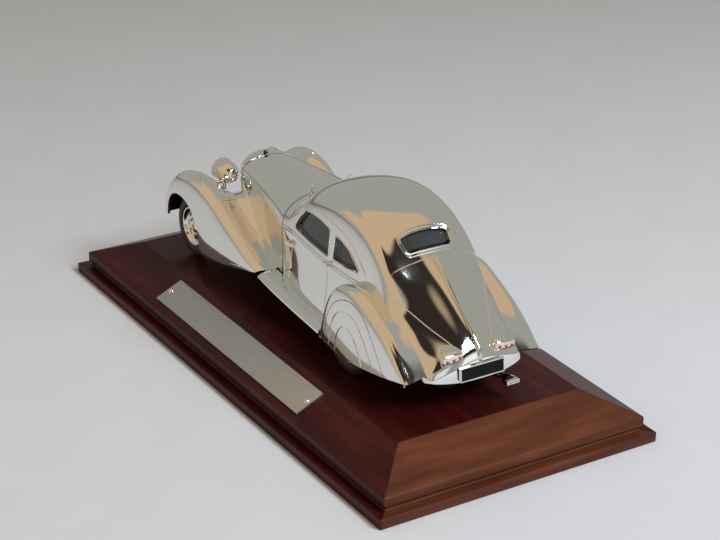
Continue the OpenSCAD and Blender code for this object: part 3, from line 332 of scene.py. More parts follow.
# Painted reflection: the ends, which begin at the bevels' mitres, are coloured browner to stand in for the warm
# ceiling's light reflected there, with grain-like streaks in that tone
painted_light_grain = object_noise(nodes, links, (1, 0.1, 1), 320, 5)
painted_light_tone = ramp(nodes, links, painted_light_grain.outputs["Fac"],
    [(0.3, (0.060, 0.014, 0.006)), (0.55, (0.098, 0.026, 0.010)), (0.75, (0.14, 0.043, 0.017))])
where = wire(nodes, links, "TexCoord", {}, "Object")
split = nodes.new("ShaderNodeSeparateXYZ")
links.new(where, split.inputs[0])
along, across = [wire(nodes, links, "MapRange", {"From Min": half - slab_step - run, "From Max": half - slab_step,
    "Value": wire(nodes, links, "Math", {0: split.outputs[axis]}, operation="ABSOLUTE")}, "Result", clamp=False)
    for axis, half, run in (("X", half_l, bevel_run[0]), ("Y", half_w, bevel_run[1]))]
beside = wire(nodes, links, "Math", {0: across, 1: 0}, operation="MAXIMUM")
past_mitre = wire(nodes, links, "Math", {0: along, 1: beside}, operation="SUBTRACT")
ends = wire(nodes, links, "MapRange", {"Value": past_mitre, "From Min": 0, "From Max": 0.03}, "Result")
stain_and_painted_light = wire(nodes, links, "MixRGB", {"Fac": ends, "Color1": tone.outputs["Color"],
    "Color2": painted_light_tone.outputs["Color"]})
links.new(stain_and_painted_light, shader.inputs["Base Color"])
shader.inputs["Roughness"].default_value = 0.45
shader.inputs["Specular IOR Level"].default_value = 0.12
shader.inputs["Coat Weight"].default_value = 0.16
shader.inputs["Coat Roughness"].default_value = 0.07
pores = object_noise(nodes, links, (0.05, 1, 1), 1500, 3)
grained_bump(nodes, links, shader, pores.outputs["Fac"], 0.12, 0.02*mm)
dress(plinth, wood_with_painted_light, replaced=["plinth"])

# ---- Nameplate ----
# A bare rectangle of satin silver sheet on the left bevel, held by two dome-headed pins.
bevel_angle = math.atan((plinth_top - fascia_top)/bevel_run[1])
bevel_face = (Matrix.Translation((-1.7*mm, -half_w + slab_step, fascia_top))
    @ Matrix.Rotation(bevel_angle, 4, "X")
    @ Matrix.Translation((0, math.hypot(bevel_run[1], plinth_top - fascia_top)/2, 0)))
tag_l, tag_w, tag_t = 69.6*mm, 7.8*mm, 0.5*mm
pin_reach = tag_l/2 - 1.3*mm
tag = block("satin_nameplate", (-tag_l/2, -tag_w/2, 0), (tag_l/2, tag_w/2, tag_t))
soften(tag, 0.09*mm, 30, 2)
tag.data.transform(bevel_face)

satin_sheet = patterned("satin_silver_sheet", (0.04, 1, 1), 5200, 3,
    [(0.3, (0.43, 0.425, 0.41)), (0.7, (0.52, 0.515, 0.495))], (0.2, 0.01*mm), Metallic=0.85, Roughness=0.42)
dress(tag, satin_sheet, replaced=["nameplate"])


def turned(name, profile, steps=48):
    """A solid turned about Z from a closed profile of (radius, height) points."""
    bpy.ops.object.select_all(action="DESELECT")
    bpy.ops.mesh.primitive_circle_add(vertices=len(profile), radius=1)
    piece = bpy.context.object
    piece.name = name
    for vertex, (radius, height) in zip(piece.data.vertices, profile):
        vertex.co = (radius, 0, height)
    bpy.ops.object.mode_set(mode="EDIT")
    bpy.ops.mesh.select_all(action="SELECT")
    bpy.ops.mesh.spin(steps=steps, angle=2*math.pi, center=(0, 0, 0), axis=(0, 0, 1))
    bpy.ops.mesh.select_all(action="SELECT")
    bpy.ops.mesh.remove_doubles(threshold=1e-6)
    bpy.ops.mesh.dissolve_degenerate(threshold=1e-7)
    bpy.ops.mesh.normals_make_consistent(inside=False)
    bpy.ops.object.mode_set(mode="OBJECT")
    bpy.ops.object.shade_smooth_by_angle(angle=math.radians(35))
    return piece


def copy_of(piece, name, move):
    """A copy with its own mesh, moved into place; a mirrored copy is turned right side out again."""
    twin = piece.copy()
    twin.data = piece.data.copy()
    twin.name = name
    bpy.context.scene.collection.objects.link(twin)
    twin.data.transform(move)
    if move.determinant() < 0:
        twin.data.flip_normals()
    return twin


def joined(name, pieces):
    """Several solids of one node as one piece."""
    bpy.ops.object.select_all(action="DESELECT")
    for piece in pieces:
        piece.select_set(True)
    bpy.context.view_layer.objects.active = pieces[0]
    if len(pieces) > 1:
        bpy.ops.object.join()
    pieces[0].name = name
    return pieces[0]


to_left = Matrix.Scale(-1, 4, (0, 1, 0))
head_r = 0.75*mm
dome = [(head_r*math.cos(t), 0.42*mm*math.sin(t)) for t in [math.pi/2*k/8 for k in range(9)]]
pin = turned("pin", [(0, -3*mm), (0.4*mm, -3*mm), (0.4*mm, 0)] + dome)
pins = [copy_of(pin, "pin_copy", bevel_face @ Matrix.Translation((side*pin_reach, 0, tag_t))) for side in (-1, 1)]
bpy.data.objects.remove(pin)
pins = joined("nameplate_pin_heads", pins)

bright_plating, nodes, links, shader = new_material("bright_silver_plating")
shader.inputs["Base Color"].default_value = (0.86, 0.85, 0.81, 1)
shader.inputs["Metallic"].default_value = 1
ripple = object_noise(nodes, links, (1, 1, 1), 420, 2)
haze = nodes.new("ShaderNodeMapRange")
haze.inputs["To Min"].default_value = 0.035
haze.inputs["To Max"].default_value = 0.075
links.new(ripple.outputs["Fac"], haze.inputs["Value"])
links.new(haze.outputs["Result"], shader.inputs["Roughness"])
grained_bump(nodes, links, shader, ripple.outputs["Fac"], 0.06, 0.05*mm)
in_silver(pins, "nameplate_pins")

# ---- Plinth screws ----
# Two plain steel screws in counterbores under the plinth, up into the castings' posts.
screw_steel = patterned("screw_steel", (1, 1, 0.2), 1800, 3,
    [(0.3, (0.42, 0.42, 0.42)), (0.7, (0.58, 0.58, 0.57))], Metallic=1, Roughness=0.32)


def refinish(node, material):
    """Gives a carried-over node its finish."""
    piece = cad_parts[node]
    piece.data.materials.clear()
    piece.data.materials.append(material)


refinish("plinth_screws", screw_steel)
refinish("front_axle", screw_steel)
refinish("rear_axle", screw_steel)

# ---- Base plate ----
# A black plastic moulding under the car, with the axle blocks, two rails and the feet on the plinth.
moulded_black = patterned("moulded_black_plastic", (1, 1, 1), 3200, 2,
    [(0.3, (0.012, 0.012, 0.013)), (0.7, (0.022, 0.022, 0.024))], (0.25, 0.02*mm), Roughness=0.55)
refinish("base_plate", moulded_black)

# ---- Body ----
# The middle casting: scuttle, cabin, roof and boot in one shell, silver plated. Its shut lines are
# scribed in the pattern, and its window frames and mouldings stand proud of it.
casting_wall = 0.9*mm
road = plinth_top


def car(x, y, height):
    """A place on the car in millimetres, with its height over the road."""
    return Vector((x*mm, y*mm, road + height*mm))


def panel(name, lines, whole=True, level=3):
    """A smooth skin through a net of lines. Lines of the right half are carried over to the left."""
    rows = [([(x, -y, h) for x, y, h in reversed(line[1:])] if whole else []) + list(line) for line in lines]
    bpy.ops.object.select_all(action="DESELECT")
    bpy.ops.mesh.primitive_grid_add(x_subdivisions=len(rows[0]) - 1, y_subdivisions=len(rows) - 1, size=0.1)
    skin = bpy.context.object
    skin.name = name
    for vertex, point in zip(skin.data.vertices, [point for row in rows for point in row]):
        vertex.co = car(*point)
    bpy.ops.object.mode_set(mode="EDIT")
    bpy.ops.mesh.select_all(action="SELECT")
    bpy.ops.mesh.flip_normals()
    bpy.ops.object.mode_set(mode="OBJECT")
    work(skin, "SUBSURF", levels=level, render_levels=level, boundary_smooth="PRESERVE_CORNERS")
    bpy.ops.object.shade_smooth()
    return skin


def cast(skin, name, wall):
    """A casting's wall under its skin, which is kept."""
    shell = copy_of(skin, name, Matrix.Identity(4))
    work(shell, "SOLIDIFY", thickness=wall, offset=-1, use_rim=True)
    return shell


def spline(points, steps=6, closed=False):
    """A smooth run of points through the points given."""
    count = len(points)
    run = []
    for i in range(count if closed else count - 1):
        a, b, c, d = [points[j % count] if closed else points[min(max(j, 0), count - 1)] for j in range(i - 1, i + 3)]
        for k in range(steps):
            t = k/steps
            run.append(0.5*((2*b) + (c - a)*t + (2*a - 5*b + 4*c - d)*t*t + (3*b - a - 3*c + d)*t*t*t))
    return run if closed else run + [points[-1]]


def laid_on(skin, run, side=None):
    """The run's nearest places on a skin, or where it meets the skin when looked at along a side."""
    laid = []
    for point in run:
        if side is not None:
            hit, place = skin.ray_cast(point - side*0.2, side)[:2]
        else:
            hit, place = skin.closest_point_on_mesh(point)[:2]
        laid.append(place if hit else point)
    return laid


def cord_solid(name, run, radius, closed=False, sides=2):
    """A round rod along a run of points: a moulding, or the tool that scribes a line."""
    curve = bpy.data.curves.new(name, "CURVE")
    curve.dimensions = "3D"
    curve.bevel_depth = radius
    curve.bevel_resolution = sides
    curve.use_fill_caps = True
    line = curve.splines.new("POLY")
    line.points.add(len(run) - 1)
    for point, place in zip(line.points, run):
        point.co = (*place, 1)
    line.use_cyclic_u = closed
    rod = bpy.data.objects.new(name, curve)
    bpy.context.scene.collection.objects.link(rod)
    only(rod)
    bpy.ops.object.convert(target="MESH")
    rod = bpy.context.object
    bpy.ops.object.shade_smooth()
    return rod


def pair(piece):
    """A piece and its mirror image as one."""
    return joined(piece.name, [piece, copy_of(piece, piece.name, to_left)])


def scribe(shell, skin, points, radius, both=True):
    """Cuts a fine line into a casting along points near its skin, and its mirror image where it has one."""
    if both and points[0][1] == 0:
        points = [(x, -y, h) for x, y, h in reversed(points[1:])] + points
        both = False
    run = laid_on(skin, spline([car(*p) for p in points]))
    rod = cord_solid("scriber", run, radius, sides=1)
    cut(shell, pair(rod) if both else rod)


def rounded_outline(corners, radius):
    """An outline of (u, v) corners, each rounded with an arc of eight points."""
    outline = []
    count = len(corners)
    for i in range(count):
        corner = Vector(corners[i])
        back = Vector(corners[i - 1]) - corner
        ahead = Vector(corners[(i + 1) % count]) - corner
        reach = min(radius, back.length/2, ahead.length/2)
        start = corner + back.normalized()*reach
        end = corner + ahead.normalized()*reach
        for k in range(7):
            t = k/6
            outline.append(start*(1 - t)**2 + corner*2*t*(1 - t) + end*t*t)
    return outline


def grown(outline, margin):
    """The outline moved outwards by a margin, whichever way round it runs."""
    area = sum(a.x*b.y - a.y*b.x for a, b in zip(outline, outline[1:] + outline[:1]))
    sign = margin if area > 0 else -margin
    out = []
    for i, point in enumerate(outline):
        along = outline[(i + 1) % len(outline)] - outline[i - 1]
        out.append(point + Vector((along.y, -along.x)).normalized()*sign)
    return out


def prism(name, outline, place, run):
    """A closed prism: place turns an outline's (u, v) into a point, and run carries it through."""
    bpy.ops.object.select_all(action="DESELECT")
    bpy.ops.mesh.primitive_circle_add(vertices=len(outline), radius=0.01, fill_type="NGON")
    solid = bpy.context.object
    solid.name = name
    for vertex, (u, v) in zip(solid.data.vertices, outline):
        vertex.co = place(u, v)
    bpy.ops.object.mode_set(mode="EDIT")
    bpy.ops.mesh.select_all(action="SELECT")
    bpy.ops.mesh.extrude_region_move(TRANSFORM_OT_translate={"value": run})
    bpy.ops.mesh.select_all(action="SELECT")
    bpy.ops.mesh.normals_make_consistent(inside=False)
    bpy.ops.object.mode_set(mode="OBJECT")
    return solid


def keep_sheen(piece, skin):
    """Gives the faces that still lie on the uncut skin that skin's smooth normals again."""
    mesh, base = piece.data, skin.data
    tree = BVHTree.FromPolygons([v.co for v in base.vertices], [tuple(f.vertices) for f in base.polygons])
    found = [tree.find_nearest(vertex.co) for vertex in mesh.vertices]
    smooth = {}
    for i, (place, normal, face, distance) in enumerate(found):
        if place is not None and distance < 0.004*mm:
            corners = [base.vertices[j] for j in base.polygons[face].vertices]
            weights = poly_3d_calc([c.co for c in corners], place)
            blended = Vector((0, 0, 0))
            for corner, weight in zip(corners, weights):
                blended += corner.normal*weight
            smooth[i] = blended.normalized()
    normals = [Vector(corner.vector) for corner in mesh.corner_normals]
    for face in mesh.polygons:
        if all(i in smooth for i in face.vertices) and face.normal.dot(smooth[face.vertices[0]]) > 0.5:
            for loop in face.loop_indices:
                normals[loop] = smooth[mesh.loops[loop].vertex_index]
    mesh.normals_split_custom_set(normals)


def settle(piece, skin, angle=35):
    """Smooths a cut casting up to its edges and gives it back its skin's sheen."""
    only(piece)
    bpy.ops.object.shade_smooth_by_angle(angle=math.radians(angle))
    keep_sheen(piece, skin)


# Lines from the front to the back, each from the crown down to the right lower edge
def cowl_line(x):
    return [(x, 0, 28.8), (x, 5.8, 28.6), (x, 11, 26.4), (x, 12.5, 23), (x, 12.6, 20.5), (x, 12.2, 14),
        (x, 12.6, 8)]


body_lines = [
    cowl_line(-9.5),
    [(-8.4, 0, 29), (-8.4, 5.9, 28.8), (-8.2, 11.3, 26.6), (-8, 12.7, 23.1), (-8, 12.8, 20.6),
        (-8, 12.6, 14), (-8, 13.1, 8)],
    [(-7.6, 0, 29.4), (-7.2, 6, 29.1), (-5.6, 11.7, 26.9), (-5.2, 12.7, 23.3), (-5.4, 13, 20.8),
        (-5.6, 13.1, 14), (-5.6, 13.9, 8)],
    [(-2.2, 0, 34.6), (-1.8, 6, 34.3), (0.4, 11.9, 31.8), (0.8, 12.9, 27.8), (0.4, 13.4, 22),
        (0.2, 13.8, 14.5), (0.2, 14.7, 8)],
    [(5, 0, 37.2), (5, 6, 37.1), (6, 12.2, 35.4), (6.4, 13.2, 30), (6.4, 13.7, 22.4), (6.4, 14.2, 14.8),
        (6.4, 15.1, 8)],
    [(13, 0, 38.6), (13, 6, 38.5), (13.5, 12.3, 37.4), (14, 13.3, 31), (14, 13.9, 22.8), (14, 14.4, 15),
        (14, 15.4, 8)],
    [(21.5, 0, 38.4), (21.5, 6, 38.3), (21.5, 12.2, 37.3), (22, 13.2, 31), (22, 14, 23), (22, 14.6, 15.2),
        (22, 15.3, 8)],
    [(28.5, 0, 36.4), (28.5, 6, 36.3), (28.5, 12, 35.2), (28.5, 13, 30), (28.5, 13.9, 23), (28.5, 14.6, 16),
        (28.5, 15, 8)],
    [(33.5, 0, 32.6), (33.5, 5.8, 32.5), (33.5, 11.8, 31.6), (33.5, 13.1, 28), (33.5, 13.7, 23),
        (33.5, 14.6, 17.5), (33.5, 15, 8)],
    [(38, 0, 28.7), (38, 5.8, 28.5), (38, 11.7, 27.2), (38, 12.9, 24), (38, 13.7, 21.4), (38, 14.6, 18.5),
        (38, 14.8, 8.4)],
    [(43, 0, 25.1), (43, 5.6, 24.4), (43, 10.2, 20.6), (43, 11.7, 19.4), (43, 13.8, 17.6), (43, 14.3, 13),
        (43, 14.3, 8.4)],
    [(48, 0, 21.2), (48, 4.7, 20.5), (48, 8, 17.8), (48, 10.5, 16.6), (48, 13.3, 14.6), (48, 13.7, 10.5),
        (48, 13.6, 8.2)],
    [(53, 0, 17.2), (53, 3.4, 16.7), (53, 5.6, 15.1), (53, 8.8, 13.6), (52.6, 12.6, 11.2), (52.2, 13, 9),
        (52, 12.9, 8)],
    [(56.8, 0, 13.6), (56.8, 2.6, 13.4), (56.6, 5, 13), (56.2, 8.4, 12), (55.3, 12, 10.4), (54.6, 12.7, 9.2),
        (54, 12.9, 8.1)],
    [(57.4, 0, 7.4), (57.3, 2.8, 7.4), (57.2, 5.6, 7.5), (56.7, 9, 7.9), (55.9, 11.6, 8.2), (55, 12.6, 8.3),
        (54, 12.9, 8)]]
body_skin = panel("body_skin", body_lines)
body = cast(body_skin, "body_casting", casting_wall)

# Openings: windscreen halves and rear window seen from the front, side windows seen from the side
front_on = lambda x: (lambda y, h: car(x, y, h))
side_on = lambda y: (lambda x, h: car(x, y, h))
windscreen_pane = rounded_outline([(0.7, 30.4), (0.7, 33), (5, 32.5), (9.2, 30.8), (10.4, 27.8), (5.6, 29.9)], 0.9)
door_pane = rounded_outline([(-2.9, 24), (-0.6, 27.6), (1.6, 29.9), (5, 30.4), (9.5, 30.5), (14, 29.9), (14, 23.1),
    (5, 23.4)], 0.9)
quarter_pane = rounded_outline([(16.1, 23.5), (16.5, 29.3), (19, 29.1), (22.8, 27.8), (27.4, 24.4), (22, 23.7)], 0.9)
rear_pane = rounded_outline([(-5.9, 30.55), (-6.5, 33), (-3.3, 33.6), (0, 33.8), (3.3, 33.6), (6.5, 33), (5.9, 30.55),
    (3, 30.75), (-3, 30.75)], 0.9)
for outline in (door_pane, quarter_pane):
    cut(body, prism("opening", outline, side_on(-25), (0, 50*mm, 0)))
for outline in (windscreen_pane, [Vector((-u, v)) for u, v in windscreen_pane]):
    cut(body, prism("opening", outline, front_on(-14), (14.8*mm, 0, 0)))
cut(body, prism("opening", rear_pane, front_on(27), (17*mm, 0, 0)))

# Shut lines of the boot lid and the doors
shut_line = 0.16*mm
boot_lid_line = [(37.2, 0, 29.4), (37.1, 5.8, 28.6), (37.1, 9.7, 28), (37.2, 12, 26.6), (37.5, 12.9, 24.4),
    (38.3, 12.6, 22.8), (40.9, 11.2, 21.5), (44.4, 9.6, 19.6), (47.9, 8, 17.7), (51.2, 6.2, 15.9), (54.5, 4.5, 14.1)]
door_rear_line = [(14.4, 14, 21.4), (14.4, 14.2, 16), (14.4, 14.9, 10)]
door_front_line = [(-3.2, 13, 21.6), (-3.8, 13.2, 17), (-4.4, 13.5, 12), (-4.6, 13.8, 9)]
scribe(body, body_skin, boot_lid_line, shut_line)
scribe(body, body_skin, door_rear_line, shut_line)
scribe(body, body_skin, door_front_line, shut_line)

# Mouldings: a double belt line, window frames, and the drip rails over the side windows
mouldings = []
belt_line = [(-9.3, 12.6, 22.4), (-5.8, 12.8, 22.6), (-2.8, 13, 22.7), (5, 13.6, 22.2), (14.4, 13.9, 21.9),
    (24, 14, 22), (30, 13.8, 22.2)]
for drop, radius in ((0, 0.22), (-0.75, 0.16)):
    run = laid_on(body_skin, spline([car(x, y, h + drop) for x, y, h in belt_line]))
    mouldings.append(pair(cord_solid("belt", run, radius*mm)))
for outline, margin, radius in ((door_pane, 0.15, 0.2), (quarter_pane, 0.15, 0.2)):
    run = laid_on(body_skin, [car(u, 30, v) for u, v in grown(outline, margin)], Vector((0, -1, 0)))
    mouldings.append(pair(cord_solid("frame", run, radius*mm, closed=True)))
for margin, radius in ((0.15, 0.22), (0.65, 0.16)):
    run = laid_on(body_skin, [car(60, u, v) for u, v in grown(rear_pane, margin)], Vector((-1, 0, 0)))
    mouldings.append(cord_solid("frame", run, radius*mm, closed=True))
run = laid_on(body_skin, [car(-20, u, v) for u, v in grown(windscreen_pane, 0.15)], Vector((1, 0, 0)))
mouldings.append(pair(cord_solid("frame", run, 0.2*mm, closed=True)))
drip_rail = [(-4.2, 12.9, 23.6), (-1.8, 12.8, 28.2), (0.4, 12.6, 31), (5, 12.8, 32), (14, 12.9, 31.8),
    (20, 13, 30.9), (25, 13.3, 28.6), (30, 13.6, 24.6)]
run = laid_on(body_skin, spline([car(*p) for p in drip_rail]))
mouldings.append(pair(cord_solid("drip_rail", run, 0.17*mm)))

# The fin that runs down the middle of the boot to its crest at the tail
fin_line = [(37.4, 29.3), (38.6, 29.6), (44.1, 25.1), (49.1, 20.6), (53.2, 17.6), (56.2, 14.9), (57.5, 12.2),
    (57.2, 11.4), (55.4, 13), (48, 20.3), (38, 28)]
fin = prism("fin", [Vector(p) for p in fin_line], side_on(-0.25), (0, 0.5*mm, 0))
only(fin)
soften(fin, 0.18*mm, 40, 2)
body = joined("body_casting", [body, fin] + mouldings)
settle(body, body_skin)
in_silver(body, "body_shell", "rear_window_frame")

# ---- Bonnet ----
# A one-piece casting with a centre hinge line, a double line where its top folds down to the sides,
# and a raised bead that sweeps down each side behind the front wing.
bonnet_lines = [
    [(-38.5, 0, 27.6), (-38.5, 3.6, 27.4), (-38.5, 7.1, 26.1), (-38.5, 7.5, 23.8), (-38.5, 7.4, 21),
        (-38.5, 7.1, 15), (-38.5, 7, 9)],
    [(-28, 0, 28), (-28, 4.4, 27.9), (-28, 8.9, 26.7), (-28, 9.4, 23.6), (-28, 9.3, 20.8), (-28, 9, 15),
        (-28, 9, 9)],
    [(-18, 0, 28.4), (-18, 5.2, 28.2), (-18, 10.6, 26.7), (-18, 11.2, 23.3), (-18, 11.1, 20.6),
        (-18, 11, 14.5), (-18, 11.6, 8.5)],
    cowl_line(-9.75)]
bonnet_skin = panel("bonnet_skin", bonnet_lines, level=4)
bonnet = cast(bonnet_skin, "bonnet_casting", casting_wall)
hinge_line = [(-38.2, 0, 27.8), (-28, 0, 28.1), (-18, 0, 28.4), (-10, 0, 28.8)]
scribe(bonnet, bonnet_skin, hinge_line, 0.2*mm, both=False)
side_lines = [[(-38.3, 7.7, 23.2), (-30, 8.9, 22.6), (-20, 10.9, 22.1), (-10, 12.5, 22.2)],
    [(-38.3, 7.6, 22.3), (-30, 8.8, 21.7), (-20, 10.8, 21.2), (-10, 12.5, 21.3)]]
for line in side_lines:
    scribe(bonnet, bonnet_skin, line, 0.13*mm)
side_bead = [(-37.9, 7.4, 21.3), (-35.6, 7.8, 19.6), (-32.7, 8.2, 17.2), (-29.4, 8.7, 14.6), (-25.7, 9.2, 12.2),
    (-18.9, 10.6, 10.9)]
bead = pair(cord_solid("side_bead", laid_on(bonnet_skin, spline([car(*p) for p in side_bead])), 0.25*mm))
bonnet = joined("bonnet_casting", [bonnet, bead])
settle(bonnet, bonnet_skin)
in_silver(bonnet, "bonnet")

# ---- Radiator ----
# A plated shell with upright bars behind it that meet in a shallow V, and a black filler cap.
radiator_lines = [
    [(-43.2, 0, 27.2), (-42.7, 3.2, 26.8), (-41, 6.2, 25.4), (-40.6, 6.6, 23.4), (-40.5, 6.5, 21),
        (-40.3, 6.1, 15), (-40.1, 5.8, 9)],
    [(-42.2, 0, 28.1), (-41.7, 3.6, 27.8), (-40.1, 7, 26.2), (-39.7, 7.4, 23.8), (-39.6, 7.3, 21),
        (-39.5, 6.9, 15), (-39.4, 6.6, 9)],
    [(-40.5, 0, 28), (-40.2, 3.7, 27.7), (-39.4, 7.3, 26.3), (-39.2, 7.6, 23.9), (-39.2, 7.5, 21),
        (-39.1, 7.1, 15), (-39.1, 6.9, 9)],
    [(-38.65, 0, 27.7), (-38.65, 3.7, 27.5), (-38.65, 7.2, 26.2), (-38.65, 7.6, 23.9), (-38.65, 7.5, 21),
        (-38.65, 7.2, 15), (-38.65, 7.1, 9)]]
radiator_skin = panel("radiator_skin", radiator_lines, level=4)
radiator = cast(radiator_skin, "radiator_casting", casting_wall)
soften(radiator, 0.15*mm, 50)
in_silver(radiator, "radiator_shell")
refinish("radiator_grille", bright_plating)

gloss_black = patterned("gloss_black_enamel", (1, 1, 1), 900, 2,
    [(0.3, (0.004, 0.004, 0.005)), (0.7, (0.008, 0.008, 0.009))], Roughness=0.12)
cap_r, cap_low, cap_high = 0.58, 27.5, 28.32
cap = turned("filler_cap", [(u*mm, v*mm) for u, v in [(0, cap_low), (cap_r, cap_low), (cap_r, cap_high - 0.15),
    (cap_r*0.8, cap_high), (0, cap_high)]], 32)
cap.data.transform(Matrix.Translation((-39.6*mm, 0, road)))
dress(cap, gloss_black, replaced=["radiator_cap"])

# ---- Front wings ----
# Thin castings that run from a deep nose over the wheel down to the running board. A crease is
# scribed along the crown, and the apron between them closes the front below the radiator.
front_wing_lines = [
    [(-57.5, 8.6, 8), (-59, 9.2, 7.7), (-60, 10.8, 7.6), (-60.9, 13.5, 7.6), (-61.2, 16.2, 7.6),
        (-60.6, 18.5, 7.6), (-59.2, 19.1, 7.9), (-57.6, 19.2, 8.2)],
    [(-56.8, 8.4, 11), (-58.2, 9, 11.4), (-59.4, 10.6, 12), (-60.6, 13.4, 12.6), (-60.9, 16.3, 12.9),
        (-60.3, 18.6, 12.6), (-58.7, 19.2, 12), (-57.2, 19.3, 11.4)],
    [(-54, 8.2, 13.5), (-55.4, 8.8, 14.6), (-56.8, 10.6, 16.4), (-57.6, 13.6, 17.8), (-57.9, 16.6, 18.4),
        (-57.5, 18.8, 17.4), (-56.4, 19.4, 16), (-55.4, 19.4, 14.9)],
    [(-49.5, 8, 14.5), (-50.5, 8.6, 16), (-51.6, 10.8, 19), (-52.2, 13.8, 21.6), (-52.6, 16.8, 22.4),
        (-52.4, 18.9, 20.9), (-52, 19.5, 18.4), (-51.6, 19.5, 16.5)],
    [(-44, 7.8, 15.5), (-45, 8.6, 16.6), (-46, 11, 20), (-46.6, 13.9, 23), (-47, 16.7, 23.7),
        (-47, 18.9, 22.2), (-47, 19.5, 19), (-47, 19.5, 16.2)],
    [(-39.5, 7.2, 19), (-40, 9, 18.2), (-41, 11.2, 19.8), (-41.6, 14, 22.3), (-41.8, 16.9, 22.9),
        (-42, 18.9, 21.9), (-42.8, 19.5, 17.8), (-43.4, 19.5, 14)],
    [(-35.5, 7.4, 20.3), (-36, 9.8, 18.4), (-36.6, 11.8, 18.7), (-37.2, 14.2, 20.7), (-37.4, 17.1, 21.4),
        (-37.8, 19, 20.5), (-39.6, 19.5, 15), (-41, 19.5, 10.6)],
    [(-32, 7.9, 17.4), (-32.3, 10.4, 16), (-32.7, 12.2, 16.6), (-33.2, 14.5, 18.9), (-33.5, 17.3, 19.7),
        (-34.4, 18.9, 18.4), (-37.6, 19.5, 12), (-40.1, 19.5, 6.6)],
    [(-28.5, 8.3, 14.6), (-28.7, 11, 13.6), (-29, 12.6, 14.6), (-29.4, 14.7, 17), (-29.8, 17.4, 17.9),
        (-30.8, 18.9, 16), (-35.2, 19.5, 9.6), (-39.5, 19.5, 3.4)],
    [(-24.5, 8.8, 12.3), (-24.6, 11.5, 11.5), (-24.8, 12.9, 12.4), (-25, 14.9, 14.9), (-25.4, 17.4, 15.8),
        (-26.2, 18.8, 14), (-29.6, 19.3, 9), (-33, 19.3, 4.8)],
    [(-20, 9.6, 11), (-20, 12, 10.4), (-20, 13.2, 10.9), (-20.2, 15, 12.5), (-20.5, 17.3, 13.2),
        (-21, 18.5, 11.6), (-23, 18.9, 8.4), (-25.5, 18.9, 6)],
    [(-15.5, 10.6, 10), (-15.5, 12.4, 9.7), (-15.5, 13.7, 9.8), (-15.7, 15.3, 10.3), (-16, 17, 10.6),
        (-16.4, 18, 9.8), (-17.6, 18.3, 8.4), (-18.8, 18.3, 7.4)],
    [(-12, 11.6, 9.7), (-12, 12.9, 9.6), (-12.2, 14.2, 9.5), (-12.4, 15.5, 9.5), (-12.8, 16.6, 9.4),
        (-13.2, 17.3, 9.2), (-13.6, 17.6, 8.9), (-14, 17.7, 8.6)]]
wing_wall = 0.7*mm
front_wing_skin = panel("front_wing_skin", front_wing_lines, whole=False, level=4)
front_wing = cast(front_wing_skin, "front_wing_right_casting", wing_wall)
crown_crease = [(-43.9, 16.7, 23.4), (-41, 16.9, 22.9), (-38.2, 17, 21.8), (-34.6, 17.2, 20.2), (-27.8, 17.4, 16.9),
    (-21.7, 17.3, 13.8), (-16, 17.2, 10.9)]
scribe(front_wing, front_wing_skin, crown_crease, 0.15*mm, both=False)
settle(front_wing, front_wing_skin)
both_sides(front_wing, "front_wing")

apron_lines = [
    [(-59.4, 0, 6.6), (-59.2, 4, 6.8), (-58.4, 8.9, 7.4)],
    [(-58, 0, 9.6), (-57.9, 4, 9.9), (-57.2, 8.9, 10.8)],
    [(-54.2, 0, 12), (-54.2, 4, 12.4), (-54.2, 8.6, 13.2)],
    [(-49.5, 0, 13), (-49.5, 4, 13.4), (-49.5, 8.4, 14.3)],
    [(-46, 0, 13.4), (-46, 4, 13.8), (-46, 8.2, 15)],
    [(-42.2, 0, 13.6), (-41.8, 4, 14.2), (-41.2, 7.9, 16.2)]]
apron = cast(panel("apron_skin", apron_lines, level=4), "apron_casting", wing_wall)
soften(apron, 0.15*mm, 50)
in_silver(apron, "front_apron")

# ---- Running boards ----
# Narrow plated steps between the wings, with three fine ribs along each.
board_lines = [
    [(-13.2, 12.6, 9.2), (-12.6, 14.4, 9.1), (-12.4, 16.2, 9), (-12.6, 17.5, 8.5), (-12.8, 17.7, 7.9)],
    [(-6, 12.9, 8.7), (-6, 15, 8.6), (-6, 16.9, 8.4), (-6, 17.9, 7.8), (-6, 18, 7.1)],
    [(5, 13.8, 8.4), (5, 15.8, 8.2), (5, 17.6, 7.8), (5, 18.3, 7.2), (5, 18.4, 6.5)],
    [(12, 14.4, 8.3), (12, 16.3, 8), (12, 17.9, 7.6), (12, 18.6, 7), (12, 18.7, 6.3)],
    [(18.1, 14.5, 8.2), (18.1, 16.6, 7.8), (18, 18.1, 7.4), (18, 18.8, 6.8), (18, 18.9, 6.1)]]
board_skin = panel("board_skin", board_lines, whole=False, level=4)
board = cast(board_skin, "running_board_right_casting", wing_wall)
ribs = [spline([car(x, 13.2 + 1.1*rib + (x + 12)*0.062, 8.6) for x in (-9, -2, 5, 12, 17.5)]) for rib in range(3)]
ribs = [cord_solid("rib", laid_on(board_skin, rib), 0.13*mm, sides=1) for rib in ribs]
board = joined("running_board_right_casting", [board] + ribs)
settle(board, board_skin)
both_sides(board, "running_board")

